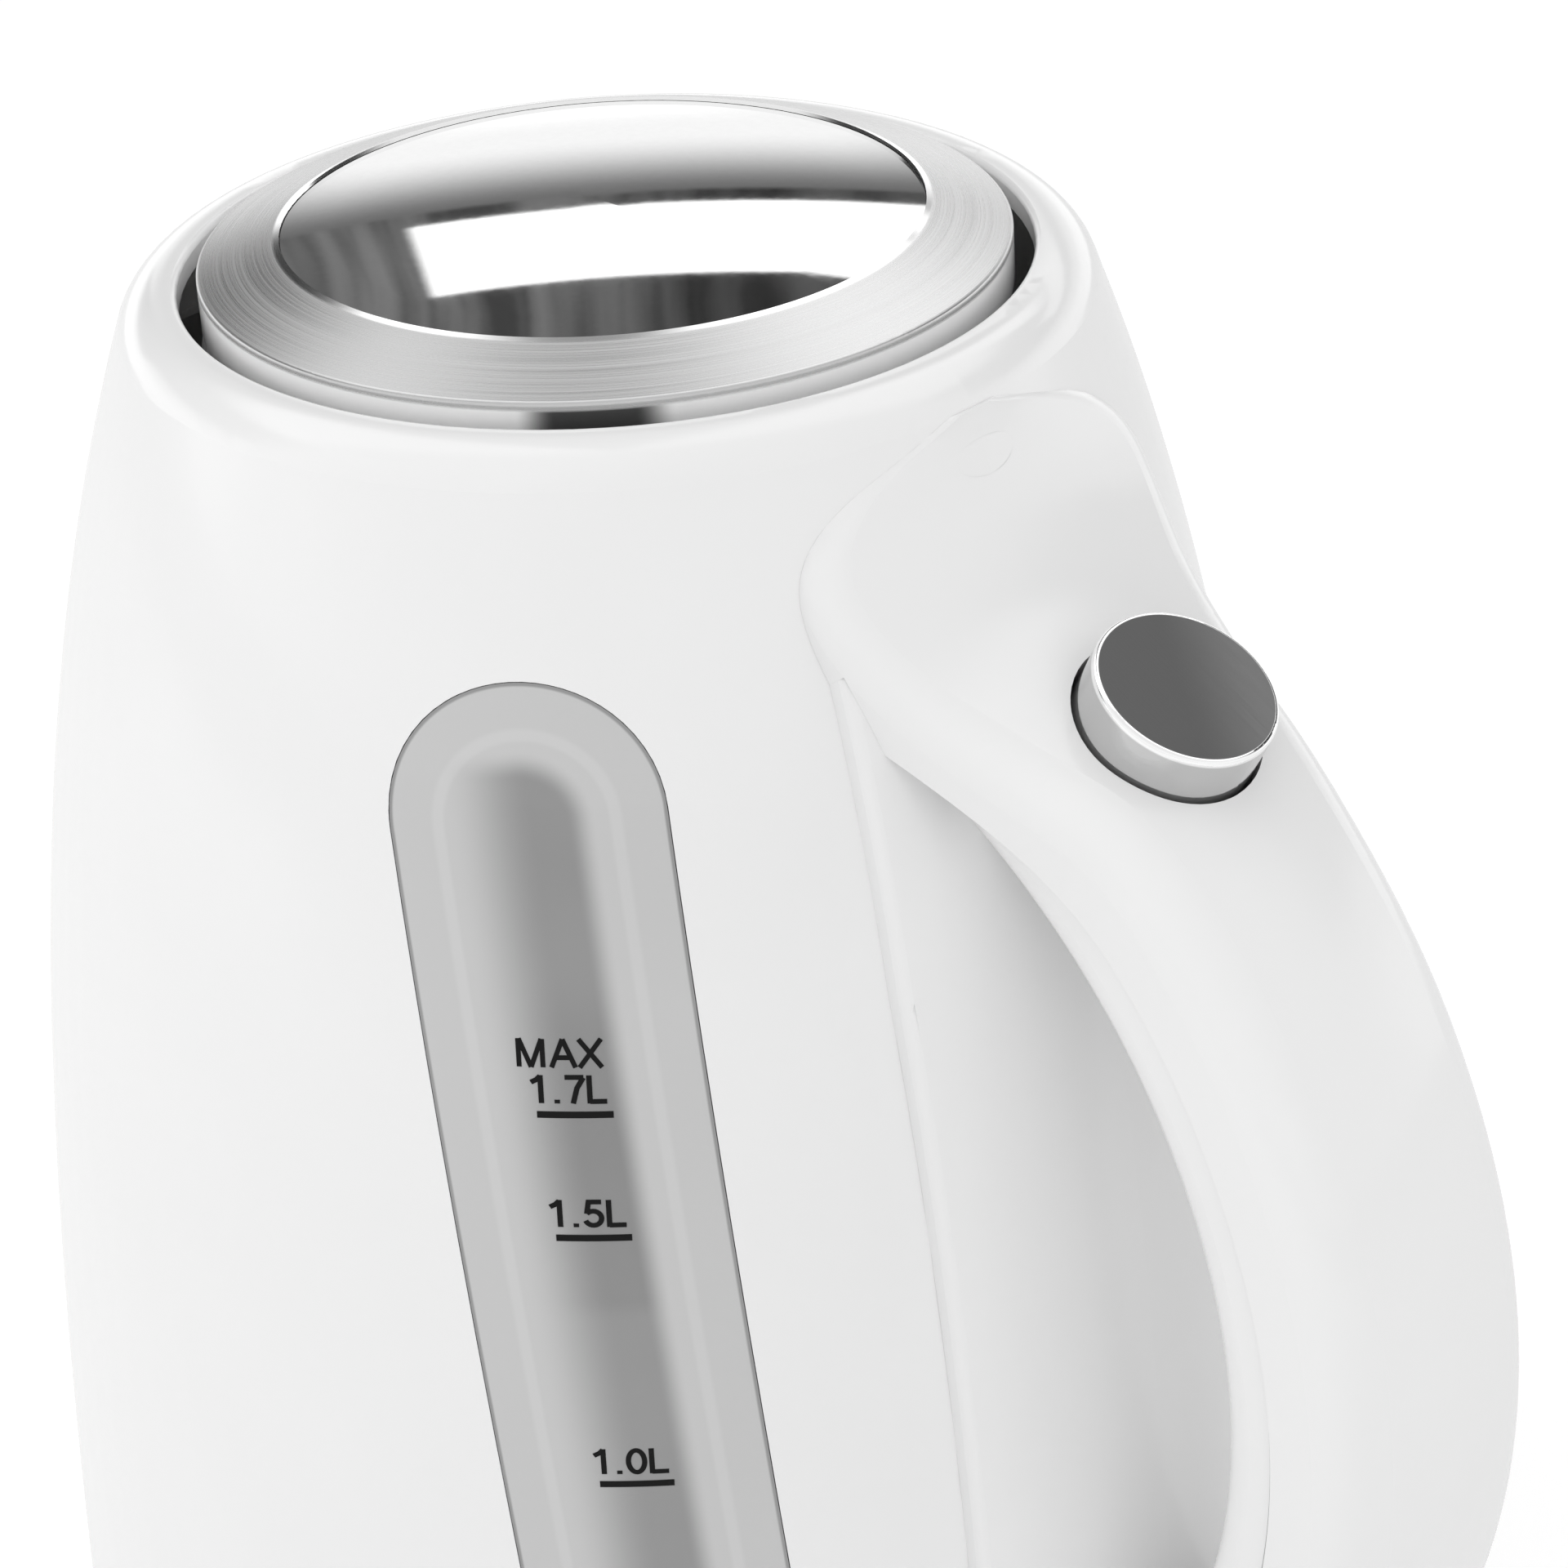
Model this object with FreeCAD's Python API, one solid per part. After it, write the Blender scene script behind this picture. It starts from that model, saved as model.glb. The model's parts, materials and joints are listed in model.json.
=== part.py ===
import FreeCAD, Part
import math
import os
from FreeCAD import Vector

# Cordless electric kettle, in millimetres. +Z is up and z = 0 is the table under the power base.
# The jug's axis is the Z axis, the handle points to +X and the pouring beak to -X.
# Heights given as a "drop" are measured down from the rim plane, the edge of the round opening.

os.makedirs("parts", exist_ok=True)

UP = Vector(0, 0, 1)
ACROSS = Vector(0, 1, 0)

# Jug shell
jug_bottom = 20.0            # lower edge of the shell above the table
jug_height = 192.0           # lower edge to rim plane
wall = 2.6                   # moulded wall
opening_radius = 47.75
lip_round = 6.2              # rounding of the lip round the opening
lip_crest = 0.4              # top of the lip above the rim plane
lip_set_back = 1.25          # centre of the lip rounding outside the opening's edge
lip_edge_round = 0.7
neck_lean = 19.5             # degrees the wall leans in under the lip
foot_radius = 79.7
foot_lean = 1.4              # degrees the wall leans in at the foot
shoulder_pull = 34.0         # reach of the side curve's upper handle
belly_pull = 113.0           # reach of the side curve's lower handle

# Level window
window_azimuth = -51.0       # degrees from the handle
window_half_width = 14.6
window_top_drop = 22.1
window_bottom_drop = 160.0
window_offset_top = -2.6     # sideways place of the upper end's centre
window_offset_bottom = 8.2   # sideways place of the lower end's centre
window_core_half_width = 5.4
window_recess = 1.4
window_gap = 0.1
window_seal_width = 2.4
window_seal_thickness = 1.2

# Pouring beak and filter
beak_mouth_drop = 14.0
beak_foot_drop = 62.0
beak_reach = 71.0            # tip of the beak from the axis
beak_root = 44.0             # start of the beak's sides, inside the shell
beak_half_width = 33.0       # at the root, on the mouth plane
beak_foot_half_width = 15.0
beak_tip_round = 6.0
beak_wall = 2.2
filter_top_drop = 13.0
filter_bottom_drop = 50.0
filter_half_width = 23.0
filter_bed = 1.0             # depth that the plate's edges are trimmed to the wall
filter_thickness = 1.8
filter_frame = 3.6
filter_rows = 6
filter_columns = 6
filter_bar = 1.6

# Handle: outer face, seam and finger side are arcs about one centre in the plane y = 0
handle_centre_x = 24.0
handle_centre_drop = 107.0
handle_outer_radius = 96.0
shell_depth = 12.7           # outer face to the seam
finger_depth = 8.3           # seam to the finger side
handle_foot_drop = 178.0     # flat underside of the handle's foot
handle_wall = 2.6
grip_half_width = 16.0
grip_corner = 6.5
grip_crown = 70.0            # crown radius of the outer face
grip_inset = 0.5             # finger side is this much narrower at the seam
grip_inner_corner = 5.0
head_half_width = 25.5
head_corner = 4.5
head_crown = 150.0
head_top_x = 55.2            # where the head runs out on the shell
head_top_drop = 3.6
arch_rise = 11.4             # height of the rounded top of the head
flare_top_drop = 16.0        # the head narrows to the grip between these two
flare_bottom_drop = 39.0
head_shares = (1.0, 0.94, 0.84, 0.7, 0.5, 0.25, 0.0)      # sections along the head's hollow sweep
grip_stations = (40, 28, 14, 0, -14, -28, -42, -56)       # degrees of the sections down the grip
grip_low = -60.0             # degrees that the finger side sweeps about the handle's centre
grip_high = 75.0
grip_hollow_low = -34.0
spine_half_width = 26.0
spine_proud = 2.2
spine_top_drop = 21.0
spine_top_half_width = 24.6
spine_shoulder_drop = 60.0
spine_edge = 1.5

# Lid release button, square to a flat platform on the handle's head
button_x = 80.9
button_drop = 31.7
platform_slope = 28.0        # degrees
platform_inner_length = 10.0
platform_outer_length = 6.0
button_radius = 10.2
button_gap = 0.45
button_proud = 5.3
button_skirt = 3.0           # cap below the platform
button_shell = 1.2
button_edge = 0.5
button_travel = 2.8
stem_radius = 2.6
stem_reach = 9.5             # lower end of the stem below the platform
guide_floor_depth = 7.6
guide_floor = 1.6
guide_wall = 1.6
running_gap = 0.05
spring_wire = 0.4            # wire radius
button_spring_radius = 5.2
button_spring_turns = 4

# Latch lever: rocks on a pin inside the neck, reaches through the wall to the button's stem
latch_pivot_x = 55.2
latch_pivot_drop = 22.4
latch_eye = 2.6
latch_pin_radius = 1.2
latch_half_width = 2.4
latch_arm = 3.0              # width of the arms in side view
latch_play = 0.3
latch_pad_overrun = 3.0      # outer arm past the stem's axis
latch_crank_back = 15.0      # bend of the outer arm: up the slope from the stem, and below the pad
latch_crank_dip = 0.8
latch_nose_x = 46.1
latch_nose_drop = 7.6
latch_lug = 3.0
latch_swing = 6.2            # degrees
latch_room = 0.8             # free space round the lever in the walls it passes
latch_slot_half_width = 3.6

# Lid
lid_radius = 45.4
lid_edge_rise = 1.93         # outer edge of the cone above the rim plane
lid_skirt = 4.0              # lower edge of the skirt below the rim plane
disc_radius = 35.8
disc_rise = 5.2              # inner edge of the cone above the rim plane
lid_sheet = 0.7
disc_dome = 1.5
disc_thickness = 1.4
lid_edge_round = 0.5
underplate_thickness = 1.3
underplate_radius = 40.5
lid_fit = 0.1
lid_frame_wall = 2.0
steam_hole_count = 7
steam_hole_radius = 2.0
steam_hole_circle = 20.0

# Lid hinge
hinge_x = 38.0
hinge_pin_radius = 1.5
hinge_eye = 2.7
carrier_arm_inner = 9.2      # the carrier's arms lie between these two, each side
carrier_arm_outer = 12.6
carrier_arm_width = 3.2
knuckle_inner = 4.0
knuckle_outer = 8.8
hinge_pocket_front = 28.0
hinge_pocket_half_width = 14.0
carrier_knee_x = 27.0        # the arms dip under the path of the lid's rear edge
carrier_knee_drop = 12.5
carrier_heel_drop = 19.0     # where the arms meet the wall
carrier_plate_half_width = 14.0
carrier_plate_top_drop = 13.0
carrier_plate_bottom_drop = 32.0
carrier_plate = 2.2
lid_spring_radius = 2.3
lid_spring_turns = 4.5
lid_spring_half_length = 2.8
lid_spring_leg = 6.0

# Heater and control in the foot of the jug
floor_drop = 169.0           # wet face of the heater plate
plate_thickness = 1.2
plate_margin = 1.0
seat_rib = 3.4
seat_rib_height = 2.5
plate_seal_thickness = 2.0
spreader_radius = 56.0
spreader_thickness = 2.0
element_radius = 47.0
element_tube = 3.4
element_gap = 50.0           # degrees between the element's ends
terminal_radius = 1.8
terminal_length = 9.0
stud_radius = 3.0
stud_circle = 64.0
stud_count = 3
control_radius = 21.0
control_height = 7.6
control_arm_half_width = 8.0
control_arm_height = 3.4
control_arm_reach = 59.0
bimetal_radius = 7.0
bimetal_thickness = 0.6
socket_wall = 4.0
socket_gap = 0.6
socket_bottom = 21.0
socket_pin_radius = 1.6
socket_pin_length = 8.0
socket_blade_width = 4.0
steam_tube_outer = 3.6
steam_tube_bore = 2.6
steam_tube_top_drop = 50.0
steam_tube_top_x = 58.0
steam_tube_bottom_x = 66.0
steam_tube_stub = 3.0        # below the heater plate
cover_screw_length = 9.0

# Bottom cover and on/off paddle
cover_plate = 2.2
cover_top = 24.4             # above the table
cover_gap = 0.2
clamp_wall = 2.5             # ring that presses the heater plate on its seal
standing_ring_radius = 70.0
standing_ring_width = 3.0
paddle_pivot_inset = 16.2    # pivot inside the shell's foot
paddle_pivot_z = 29.5
paddle_pin_radius = 1.5
paddle_half_width = 11.0
paddle_thickness = 3.0
paddle_eye = 3.0
paddle_overhang = 12.3       # finger end outside the shell's foot
paddle_lift = 1.0            # finger end above the pivot end
paddle_end_round = 5.0
paddle_lug = 2.4
paddle_side_gap = 0.6
paddle_slot_gap = 1.0
paddle_swing = 9.0           # degrees between off and on

# Power base
base_radius = 80.5
base_top = 18.0              # deck that the jug stands on
base_edge_round = 5.0
base_wall = 2.4
base_bottom_gap = 2.0        # lower cover above the table
base_cover_plate = 2.0
base_foot_inset = 14.5
foot_pad_radius = 7.0
foot_pad_count = 4
foot_pad_recess = 0.8
tower_radius = 15.4
tower_height = 13.0          # above the deck
tower_flange_radius = 21.0
tower_flange = 3.4
tower_bore = 4.0
tower_groove_radius = 12.0
tower_groove_width = 3.0
tower_groove_depth = 11.0
contact_thickness = 0.8
contact_drop = 2.0           # contacts end this far below the plug's top
drum_radius = 26.0           # drum under the base that spare cord winds on
base_draft = 2.0
base_screw_circle = 42.0
base_screw_count = 3
base_screw_length = 8.0
base_post_radius = 3.6
base_boss_radius = 5.2
base_boss_floor = 2.2
screw_recess = 0.4
screw_fit = 0.2
screw_head_radius = 3.0
screw_head_height = 1.8
screw_shank_radius = 1.4
gland_radius = 4.4
gland_bore = 3.3
gland_flange = 1.4
gland_flange_radius = 5.6
gland_length = 8.0
gland_z = 9.4

# Values that follow from those above
rim = jug_bottom + jug_height
lip_centre_r = opening_radius + lip_set_back
lip_centre_z = rim + lip_crest - lip_round
floor_z = rim - floor_drop
plate_bottom = floor_z - plate_thickness
spreader_bottom = plate_bottom - spreader_thickness
control_bottom = spreader_bottom - control_height
handle_centre = Vector(handle_centre_x, 0, rim - handle_centre_drop)
handle_seam_radius = handle_outer_radius - shell_depth
handle_inner_radius = handle_seam_radius - finger_depth
button_axis = Vector(math.sin(math.radians(platform_slope)), 0, math.cos(math.radians(platform_slope)))
platform_down = Vector(button_axis.z, 0, -button_axis.x)
button_centre = Vector(button_x, 0, rim - button_drop)
hinge_axis_point = Vector(hinge_x, 0, rim)
latch_pivot = Vector(latch_pivot_x, 0, rim - latch_pivot_drop)
paddle_pivot_x = foot_radius - paddle_pivot_inset
paddle_reach = foot_radius + paddle_overhang
paddle_pivot = Vector(paddle_pivot_x, 0, paddle_pivot_z)


# General helpers

def polar(radius, degrees):
    """Offset in the plane y = 0 at an angle up from +X."""
    angle = math.radians(degrees)
    return Vector(radius * math.cos(angle), 0, radius * math.sin(angle))


def polygon_face(points):
    return Part.Face(Part.makePolygon(points + points[:1]))


def turned(profile):
    """Solid of revolution about the jug's axis from (radius, z) corners."""
    return polygon_face([Vector(r, 0, z) for r, z in profile]).revolve(Vector(), UP, 360)


def ring(outer, inner, low, high):
    return turned([(inner, low), (outer, low), (outer, high), (inner, high)])


def disc(radius, low, high, x=0.0, y=0.0):
    return Part.makeCylinder(radius, high - low, Vector(x, y, low))


def block(x0, x1, y0, y1, z0, z1):
    return Part.makeBox(x1 - x0, y1 - y0, z1 - z0, Vector(x0, y0, z0))


def rod_across(radius, half_length, centre):
    return Part.makeCylinder(radius, 2 * half_length, centre - ACROSS * half_length, ACROSS)


def slab_across(face, y0, y1):
    """Thicken a face of the plane y = 0 between two sideways places."""
    moved = face.copy()
    moved.translate(ACROSS * y0)
    return moved.extrude(ACROSS * (y1 - y0))


def bar_face(start, end, width):
    """Straight arm in side view with round ends."""
    along = end - start
    along.normalize()
    side = Vector(-along.z, 0, along.x) * (width / 2)
    tip = along * (width / 2)
    edges = [
        Part.makeLine(start + side, end + side),
        Part.Arc(end + side, end + tip, end - side).toShape(),
        Part.makeLine(end - side, start - side),
        Part.Arc(start - side, start - tip, start + side).toShape(),
    ]
    return Part.Face(Part.Wire(edges))


def around(count, radius, start=0.0):
    """Places spread evenly on a circle about the jug's axis."""
    for index in range(count):
        angle = math.radians(start) + 2 * math.pi * index / count
        yield Vector(radius * math.cos(angle), radius * math.sin(angle), 0)


def coil(start, axis, zero, radius, wire, turns, length, leg):
    """Round-wire coil of quarter-turn arcs with straight legs; zero points to the first turn."""
    side = axis.cross(zero)

    def place(turn):
        angle = 2 * math.pi * turn
        return start + (zero * math.cos(angle) + side * math.sin(angle)) * radius + axis * (length * turn / turns)

    quarters = [index / 4 for index in range(int(4 * turns))]
    edges = [Part.Arc(place(q), place(q + 0.125), place(q + 0.25)).toShape() for q in quarters]
    first = edges[0].tangentAt(edges[0].FirstParameter)
    last = edges[-1].tangentAt(edges[-1].LastParameter)
    begin = place(0)
    if leg > 0:
        begin = place(0) - first * leg
        edges.insert(0, Part.makeLine(begin, place(0)))
        edges.append(Part.makeLine(place(turns), place(turns) + last * leg))
    section = Part.Wire(Part.makeCircle(wire, begin, first))
    print("coil of", turns, "turns, gap between turns", round(length / turns - 2 * wire, 2))
    return Part.Wire(edges).makePipeShell([section], True, False)


def screw(place, low, length):
    """Round-headed screw pointing up from the lower face of its head."""
    seat = low + screw_head_height
    head = disc(screw_head_radius, low, seat, place.x, place.y)
    return head.fuse(disc(screw_shank_radius, seat, seat + length, place.x, place.y))


def save(name, shape):
    solids = shape.Solids
    result = solids[0] if len(solids) == 1 else Part.makeCompound(solids)
    result.exportStep("parts/" + name + ".step")


# Jug shell

def lip_point(degrees, offset):
    angle = math.radians(degrees)
    radius = lip_round + offset
    return Vector(lip_centre_r + radius * math.cos(angle), 0, lip_centre_z + radius * math.sin(angle))


def jug_outline(offset):
    """Lip arc and side curve of the jug's outside, moved outwards by offset."""
    opening_angle = math.degrees(math.acos(-lip_set_back / (lip_round + offset)))
    top = lip_point(opening_angle, offset)
    neck = lip_point(neck_lean, offset)
    lip = Part.Arc(top, lip_point((opening_angle + neck_lean) / 2, offset), neck)
    foot = Vector(foot_radius + offset, 0, jug_bottom)
    neck_angle = math.radians(neck_lean)
    foot_angle = math.radians(foot_lean)
    side = Part.BezierCurve()
    side.setPoles([
        neck,
        neck + Vector(math.sin(neck_angle), 0, -math.cos(neck_angle)) * shoulder_pull,
        foot + Vector(-math.sin(foot_angle), 0, math.cos(foot_angle)) * belly_pull,
        foot,
    ])
    return top, lip, side, foot


def jug_form(offset):
    """Solid inside the jug's outline, closed across the opening and the foot."""
    top, lip, side, foot = jug_outline(offset)
    axis_top = Vector(0, 0, top.z)
    axis_bottom = Vector(0, 0, jug_bottom)
    edges = [
        Part.makeLine(axis_bottom, axis_top),
        Part.makeLine(axis_top, top),
        lip.toShape(),
        side.toShape(),
        Part.makeLine(foot, axis_bottom),
    ]
    return Part.Face(Part.Wire(edges)).revolve(Vector(), UP, 360)


def radius_at(z, offset=0.0):
    """Outside radius of the jug at a height, moved by offset."""
    side = jug_outline(offset)[2]
    level = Part.LineSegment(Vector(0, 0, z), Vector(2 * foot_radius, 0, z))
    return side.intersect(level)[0].X


outside = jug_form(0)
inside = jug_form(-wall)


def beak_section(z, half_width, reach, tip_round):
    """Horizontal V with a round tip, pointing to -X."""
    root = Vector(-beak_root, half_width, z)
    centre = Vector(-(reach - tip_round), 0, z)
    to_centre = centre - root
    spread = math.asin(tip_round / to_centre.Length)
    heading = math.atan2(to_centre.y, to_centre.x) - spread
    run = math.sqrt(to_centre.Length ** 2 - tip_round ** 2)
    touch = root + Vector(math.cos(heading), math.sin(heading), 0) * run
    mirror_touch = Vector(touch.x, -touch.y, z)
    mirror_root = Vector(root.x, -root.y, z)
    return Part.Wire([
        Part.makeLine(root, touch),
        Part.Arc(touch, Vector(-reach, 0, z), mirror_touch).toShape(),
        Part.makeLine(mirror_touch, mirror_root),
        Part.makeLine(mirror_root, root),
    ])


def beak_form(inset, top_drop):
    """Prow of the beak from its mouth down to where it runs out on the wall."""
    top = rim - top_drop
    bottom = rim - beak_foot_drop
    foot_reach = radius_at(bottom) - inset
    sections = [
        beak_section(bottom, beak_foot_half_width - inset, foot_reach, beak_tip_round - inset),
        beak_section(top, beak_half_width - inset, beak_reach - inset, beak_tip_round - inset),
    ]
    return Part.makeLoft(sections, True, True)


def window_prism(half_width):
    """Leaning slot with round ends, seen square on from outside, pushed through the wall."""
    azimuth = math.radians(window_azimuth)
    outwards = Vector(math.cos(azimuth), math.sin(azimuth), 0)
    sideways = Vector(-math.sin(azimuth), math.cos(azimuth), 0)
    start = outwards * (opening_radius / 2)
    upper = start + sideways * window_offset_top + UP * (rim - window_top_drop - window_half_width)
    lower = start + sideways * window_offset_bottom + UP * (rim - window_bottom_drop + window_half_width)
    along = upper - lower
    along.normalize()
    across = along.cross(outwards) * half_width
    edges = [
        Part.makeLine(lower + across, upper + across),
        Part.Arc(upper + across, upper + along * half_width, upper - across).toShape(),
        Part.makeLine(upper - across, lower - across),
        Part.Arc(lower - across, lower - along * half_width, lower + across).toShape(),
    ]
    return Part.Face(Part.Wire(edges)).extrude(outwards * foot_radius)


def latch_outer_arm(width):
    """Side view of the cranked arm from the latch's pin to under the button's stem."""
    pad_depth = stem_reach + latch_play + latch_arm / 2
    under_stem = button_centre - button_axis * pad_depth
    pad = under_stem + platform_down * latch_pad_overrun
    crank = under_stem - platform_down * latch_crank_back - button_axis * latch_crank_dip
    return [bar_face(latch_pivot, crank, width), bar_face(crank, pad, width)]


def latch_slot():
    """Passage for the outer arm over its whole swing."""
    slot = rod_across(latch_arm / 2 + latch_room, latch_slot_half_width, latch_pivot)
    for turn in (0, latch_swing / 2, latch_swing):
        for face in latch_outer_arm(latch_arm + 2 * latch_room):
            arm = slab_across(face, -latch_slot_half_width, latch_slot_half_width)
            arm.rotate(latch_pivot, ACROSS, turn)
            slot = slot.fuse(arm)
    return slot


def paddle_slot():
    """Room for the paddle's swing through the shell and the clamping ring behind it."""
    half = paddle_half_width + paddle_slot_gap
    swing_drop = (foot_radius - paddle_pivot_x) * math.sin(math.radians(paddle_swing))
    top = paddle_pivot_z + paddle_thickness / 2 + paddle_lift + paddle_slot_gap
    bottom = paddle_pivot_z - paddle_thickness / 2 - swing_drop - paddle_slot_gap
    return block(paddle_pivot_x, paddle_reach, -half, half, bottom, top)


def make_jug_body():
    shell = outside.cut(inside)
    shell = shell.cut(disc(opening_radius, rim - 2 * lip_round, rim + 2 * lip_crest))
    rims = [e for e in shell.Edges if abs(e.BoundBox.XMax - opening_radius) < 0.01
            and e.BoundBox.ZMin > rim - lip_crest]
    shell = shell.makeFillet(lip_edge_round, rims)
    rib_top = floor_z + plate_seal_thickness + seat_rib_height
    rib_outer = radius_at(floor_z) - wall / 2
    rib = ring(rib_outer, radius_at(floor_z, -wall) - seat_rib, floor_z + plate_seal_thickness, rib_top)
    shell = shell.fuse(rib)
    beak = beak_form(0, beak_mouth_drop).cut(inside)
    shell = shell.fuse(beak).cut(beak_form(beak_wall, beak_mouth_drop))
    recess = window_prism(window_half_width + window_gap).cut(jug_form(-window_recess))
    shell = shell.cut(recess).cut(window_prism(window_core_half_width))
    return shell.cut(latch_slot()).cut(paddle_slot()).removeSplitter()


def make_window_lens():
    flange = window_prism(window_half_width).common(outside).cut(jug_form(-window_recess))
    core = window_prism(window_core_half_width - window_gap).common(jug_form(-window_recess)).cut(inside)
    return flange.fuse(core).removeSplitter()


def make_window_seal():
    band = window_prism(window_core_half_width + window_seal_width).cut(window_prism(window_core_half_width))
    return band.common(inside).cut(jug_form(-wall - window_seal_thickness))


def make_spout_filter():
    """Flat slotted plate that leans with the wall behind the beak, its edges bedded on the wall."""
    top = rim - filter_top_drop
    bottom = rim - filter_bottom_drop

    def seat(z):
        return -math.sqrt(radius_at(z, -wall) ** 2 - filter_half_width ** 2) - filter_bed

    face = polygon_face([
        Vector(seat(bottom), 0, bottom), Vector(seat(top), 0, top),
        Vector(seat(top) + filter_thickness, 0, top), Vector(seat(bottom) + filter_thickness, 0, bottom),
    ])
    plate = slab_across(face, -filter_half_width, filter_half_width)
    half = filter_half_width - filter_frame
    width = (2 * half + filter_bar) / filter_columns
    height = (top - bottom - 2 * filter_frame + filter_bar) / filter_rows
    for column in range(filter_columns):
        y0 = -half + column * width
        for row in range(filter_rows):
            z0 = bottom + filter_frame + row * height
            gap = block(-foot_radius, 0, y0, y0 + width - filter_bar, z0, z0 + height - filter_bar)
            plate = plate.cut(gap)
    return plate.cut(outside.cut(inside))


# Handle

def contour():
    """Places, outward directions and turn angles down the middle of the handle's outer face."""
    head_top = Vector(head_top_x, 0, rim - head_top_drop)
    platform_start = button_centre - platform_down * platform_inner_length
    platform_end = button_centre + platform_down * platform_outer_length
    chord = head_top - platform_start
    turn = 2 * (180 - platform_slope - math.degrees(math.atan2(chord.z, chord.x)))
    hollow_radius = chord.Length / (2 * math.sin(math.radians(turn / 2)))
    hollow_centre = platform_start + button_axis * hollow_radius
    stations = []
    for share in head_shares:
        degrees = 270 - platform_slope - turn * share
        stations.append((hollow_centre + polar(hollow_radius, degrees), polar(-1, degrees)))
    stations.append((button_centre, button_axis))
    stations.append((platform_end, button_axis))
    for degrees in grip_stations:
        stations.append((handle_centre + polar(handle_outer_radius, degrees), polar(1, degrees)))
    return stations


def half_width_at(z):
    """Half width of the handle in front view: rounded head, flare, then the even grip."""
    drop = rim - z
    arch_centre = head_top_drop + arch_rise
    if drop < arch_centre:
        share = min(1.0, (arch_centre - drop) / arch_rise)
        return max(head_half_width * math.sqrt(1 - share ** 2), head_corner)
    if drop < flare_top_drop:
        return head_half_width
    if drop < flare_bottom_drop:
        share = (drop - flare_top_drop) / (flare_bottom_drop - flare_top_drop)
        smooth = share * share * (3 - 2 * share)
        return head_half_width + (grip_half_width - head_half_width) * smooth
    return grip_half_width


def handle_section(place, outwards, half_width, corner, crown, depth):
    """Crowned section with round shoulders, square to the handle's outer face."""
    corner = min(corner, 0.6 * half_width)
    drop = crown - math.sqrt((crown - corner) ** 2 - (half_width - corner) ** 2)
    reach = crown / (crown - corner)
    crown_y = (half_width - corner) * reach
    crown_v = (crown - drop) * reach - crown
    middle = math.atan2(half_width - corner, crown - drop) / 2 + math.pi / 4
    middle_y = half_width - corner + corner * math.sin(middle)
    middle_v = -drop + corner * math.cos(middle)

    def spot(y, v):
        return place + ACROSS * y + outwards * v

    return Part.Wire([
        Part.makeLine(spot(-half_width, -depth), spot(-half_width, -drop)),
        Part.Arc(spot(-half_width, -drop), spot(-middle_y, middle_v), spot(-crown_y, crown_v)).toShape(),
        Part.Arc(spot(-crown_y, crown_v), spot(0, 0), spot(crown_y, crown_v)).toShape(),
        Part.Arc(spot(crown_y, crown_v), spot(middle_y, middle_v), spot(half_width, -drop)).toShape(),
        Part.makeLine(spot(half_width, -drop), spot(half_width, -depth)),
        Part.makeLine(spot(half_width, -depth), spot(-half_width, -depth)),
    ])


def handle_form(inset, first):
    """Loft down the handle from station number first, shrunk by inset on every side."""
    sections = []
    for place, outwards in contour()[first:]:
        width = half_width_at(place.z)
        share = (width - grip_half_width) / (head_half_width - grip_half_width)
        share = min(1.0, max(0.0, share))
        corner = grip_corner + (head_corner - grip_corner) * share
        crown = grip_crown + (head_crown - grip_crown) * share
        depth = 2 * (handle_outer_radius - handle_seam_radius)
        sections.append(handle_section(place - outwards * inset, outwards, width - inset, corner, crown, depth))
    return Part.makeLoft(sections, True, False)


def handle_drum(radius):
    return rod_across(radius, 2 * spine_half_width, handle_centre)


def below_foot():
    reach = 2 * handle_outer_radius
    return block(-reach, reach, -reach, reach, -reach, rim - handle_foot_drop)


def spine_form():
    """Band on the jug's wall behind the fingers, standing proud of it."""
    edge = jug_form(spine_proud).cut(outside)
    drops = [spine_top_drop, spine_shoulder_drop, handle_foot_drop]
    widths = [spine_top_half_width, spine_half_width, spine_half_width]
    corners = [Vector(0, w, rim - d) for d, w in zip(drops, widths)]
    corners += [Vector(0, -w, rim - d) for d, w in zip(reversed(drops), reversed(widths))]
    return edge.common(polygon_face(corners).extrude(Vector(2 * foot_radius, 0, 0)))


def make_handle_spine():
    band = spine_form()

    def is_rail(edge):
        middle = edge.valueAt((edge.FirstParameter + edge.LastParameter) / 2)
        stands = math.hypot(middle.x, middle.y) - radius_at(middle.z)
        return edge.BoundBox.ZLength > spine_edge and stands > spine_proud / 2

    band = band.makeFillet(spine_edge, [e for e in band.Edges if is_rail(e)])
    return band.cut(latch_slot())


def make_handle_shell():
    shell = handle_form(0, 0).cut(handle_drum(handle_seam_radius))
    hollow = handle_form(handle_wall, len(head_shares) - 1)
    shell = shell.cut(hollow).cut(outside).cut(spine_form()).cut(below_foot()).cut(latch_slot())
    hole = Part.makeCylinder(button_radius + button_gap, 4 * button_proud,
                             button_centre - button_axis * 2 * button_proud, button_axis)
    shell = shell.cut(hole)
    return max(shell.Solids, key=lambda s: s.Volume)


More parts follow.
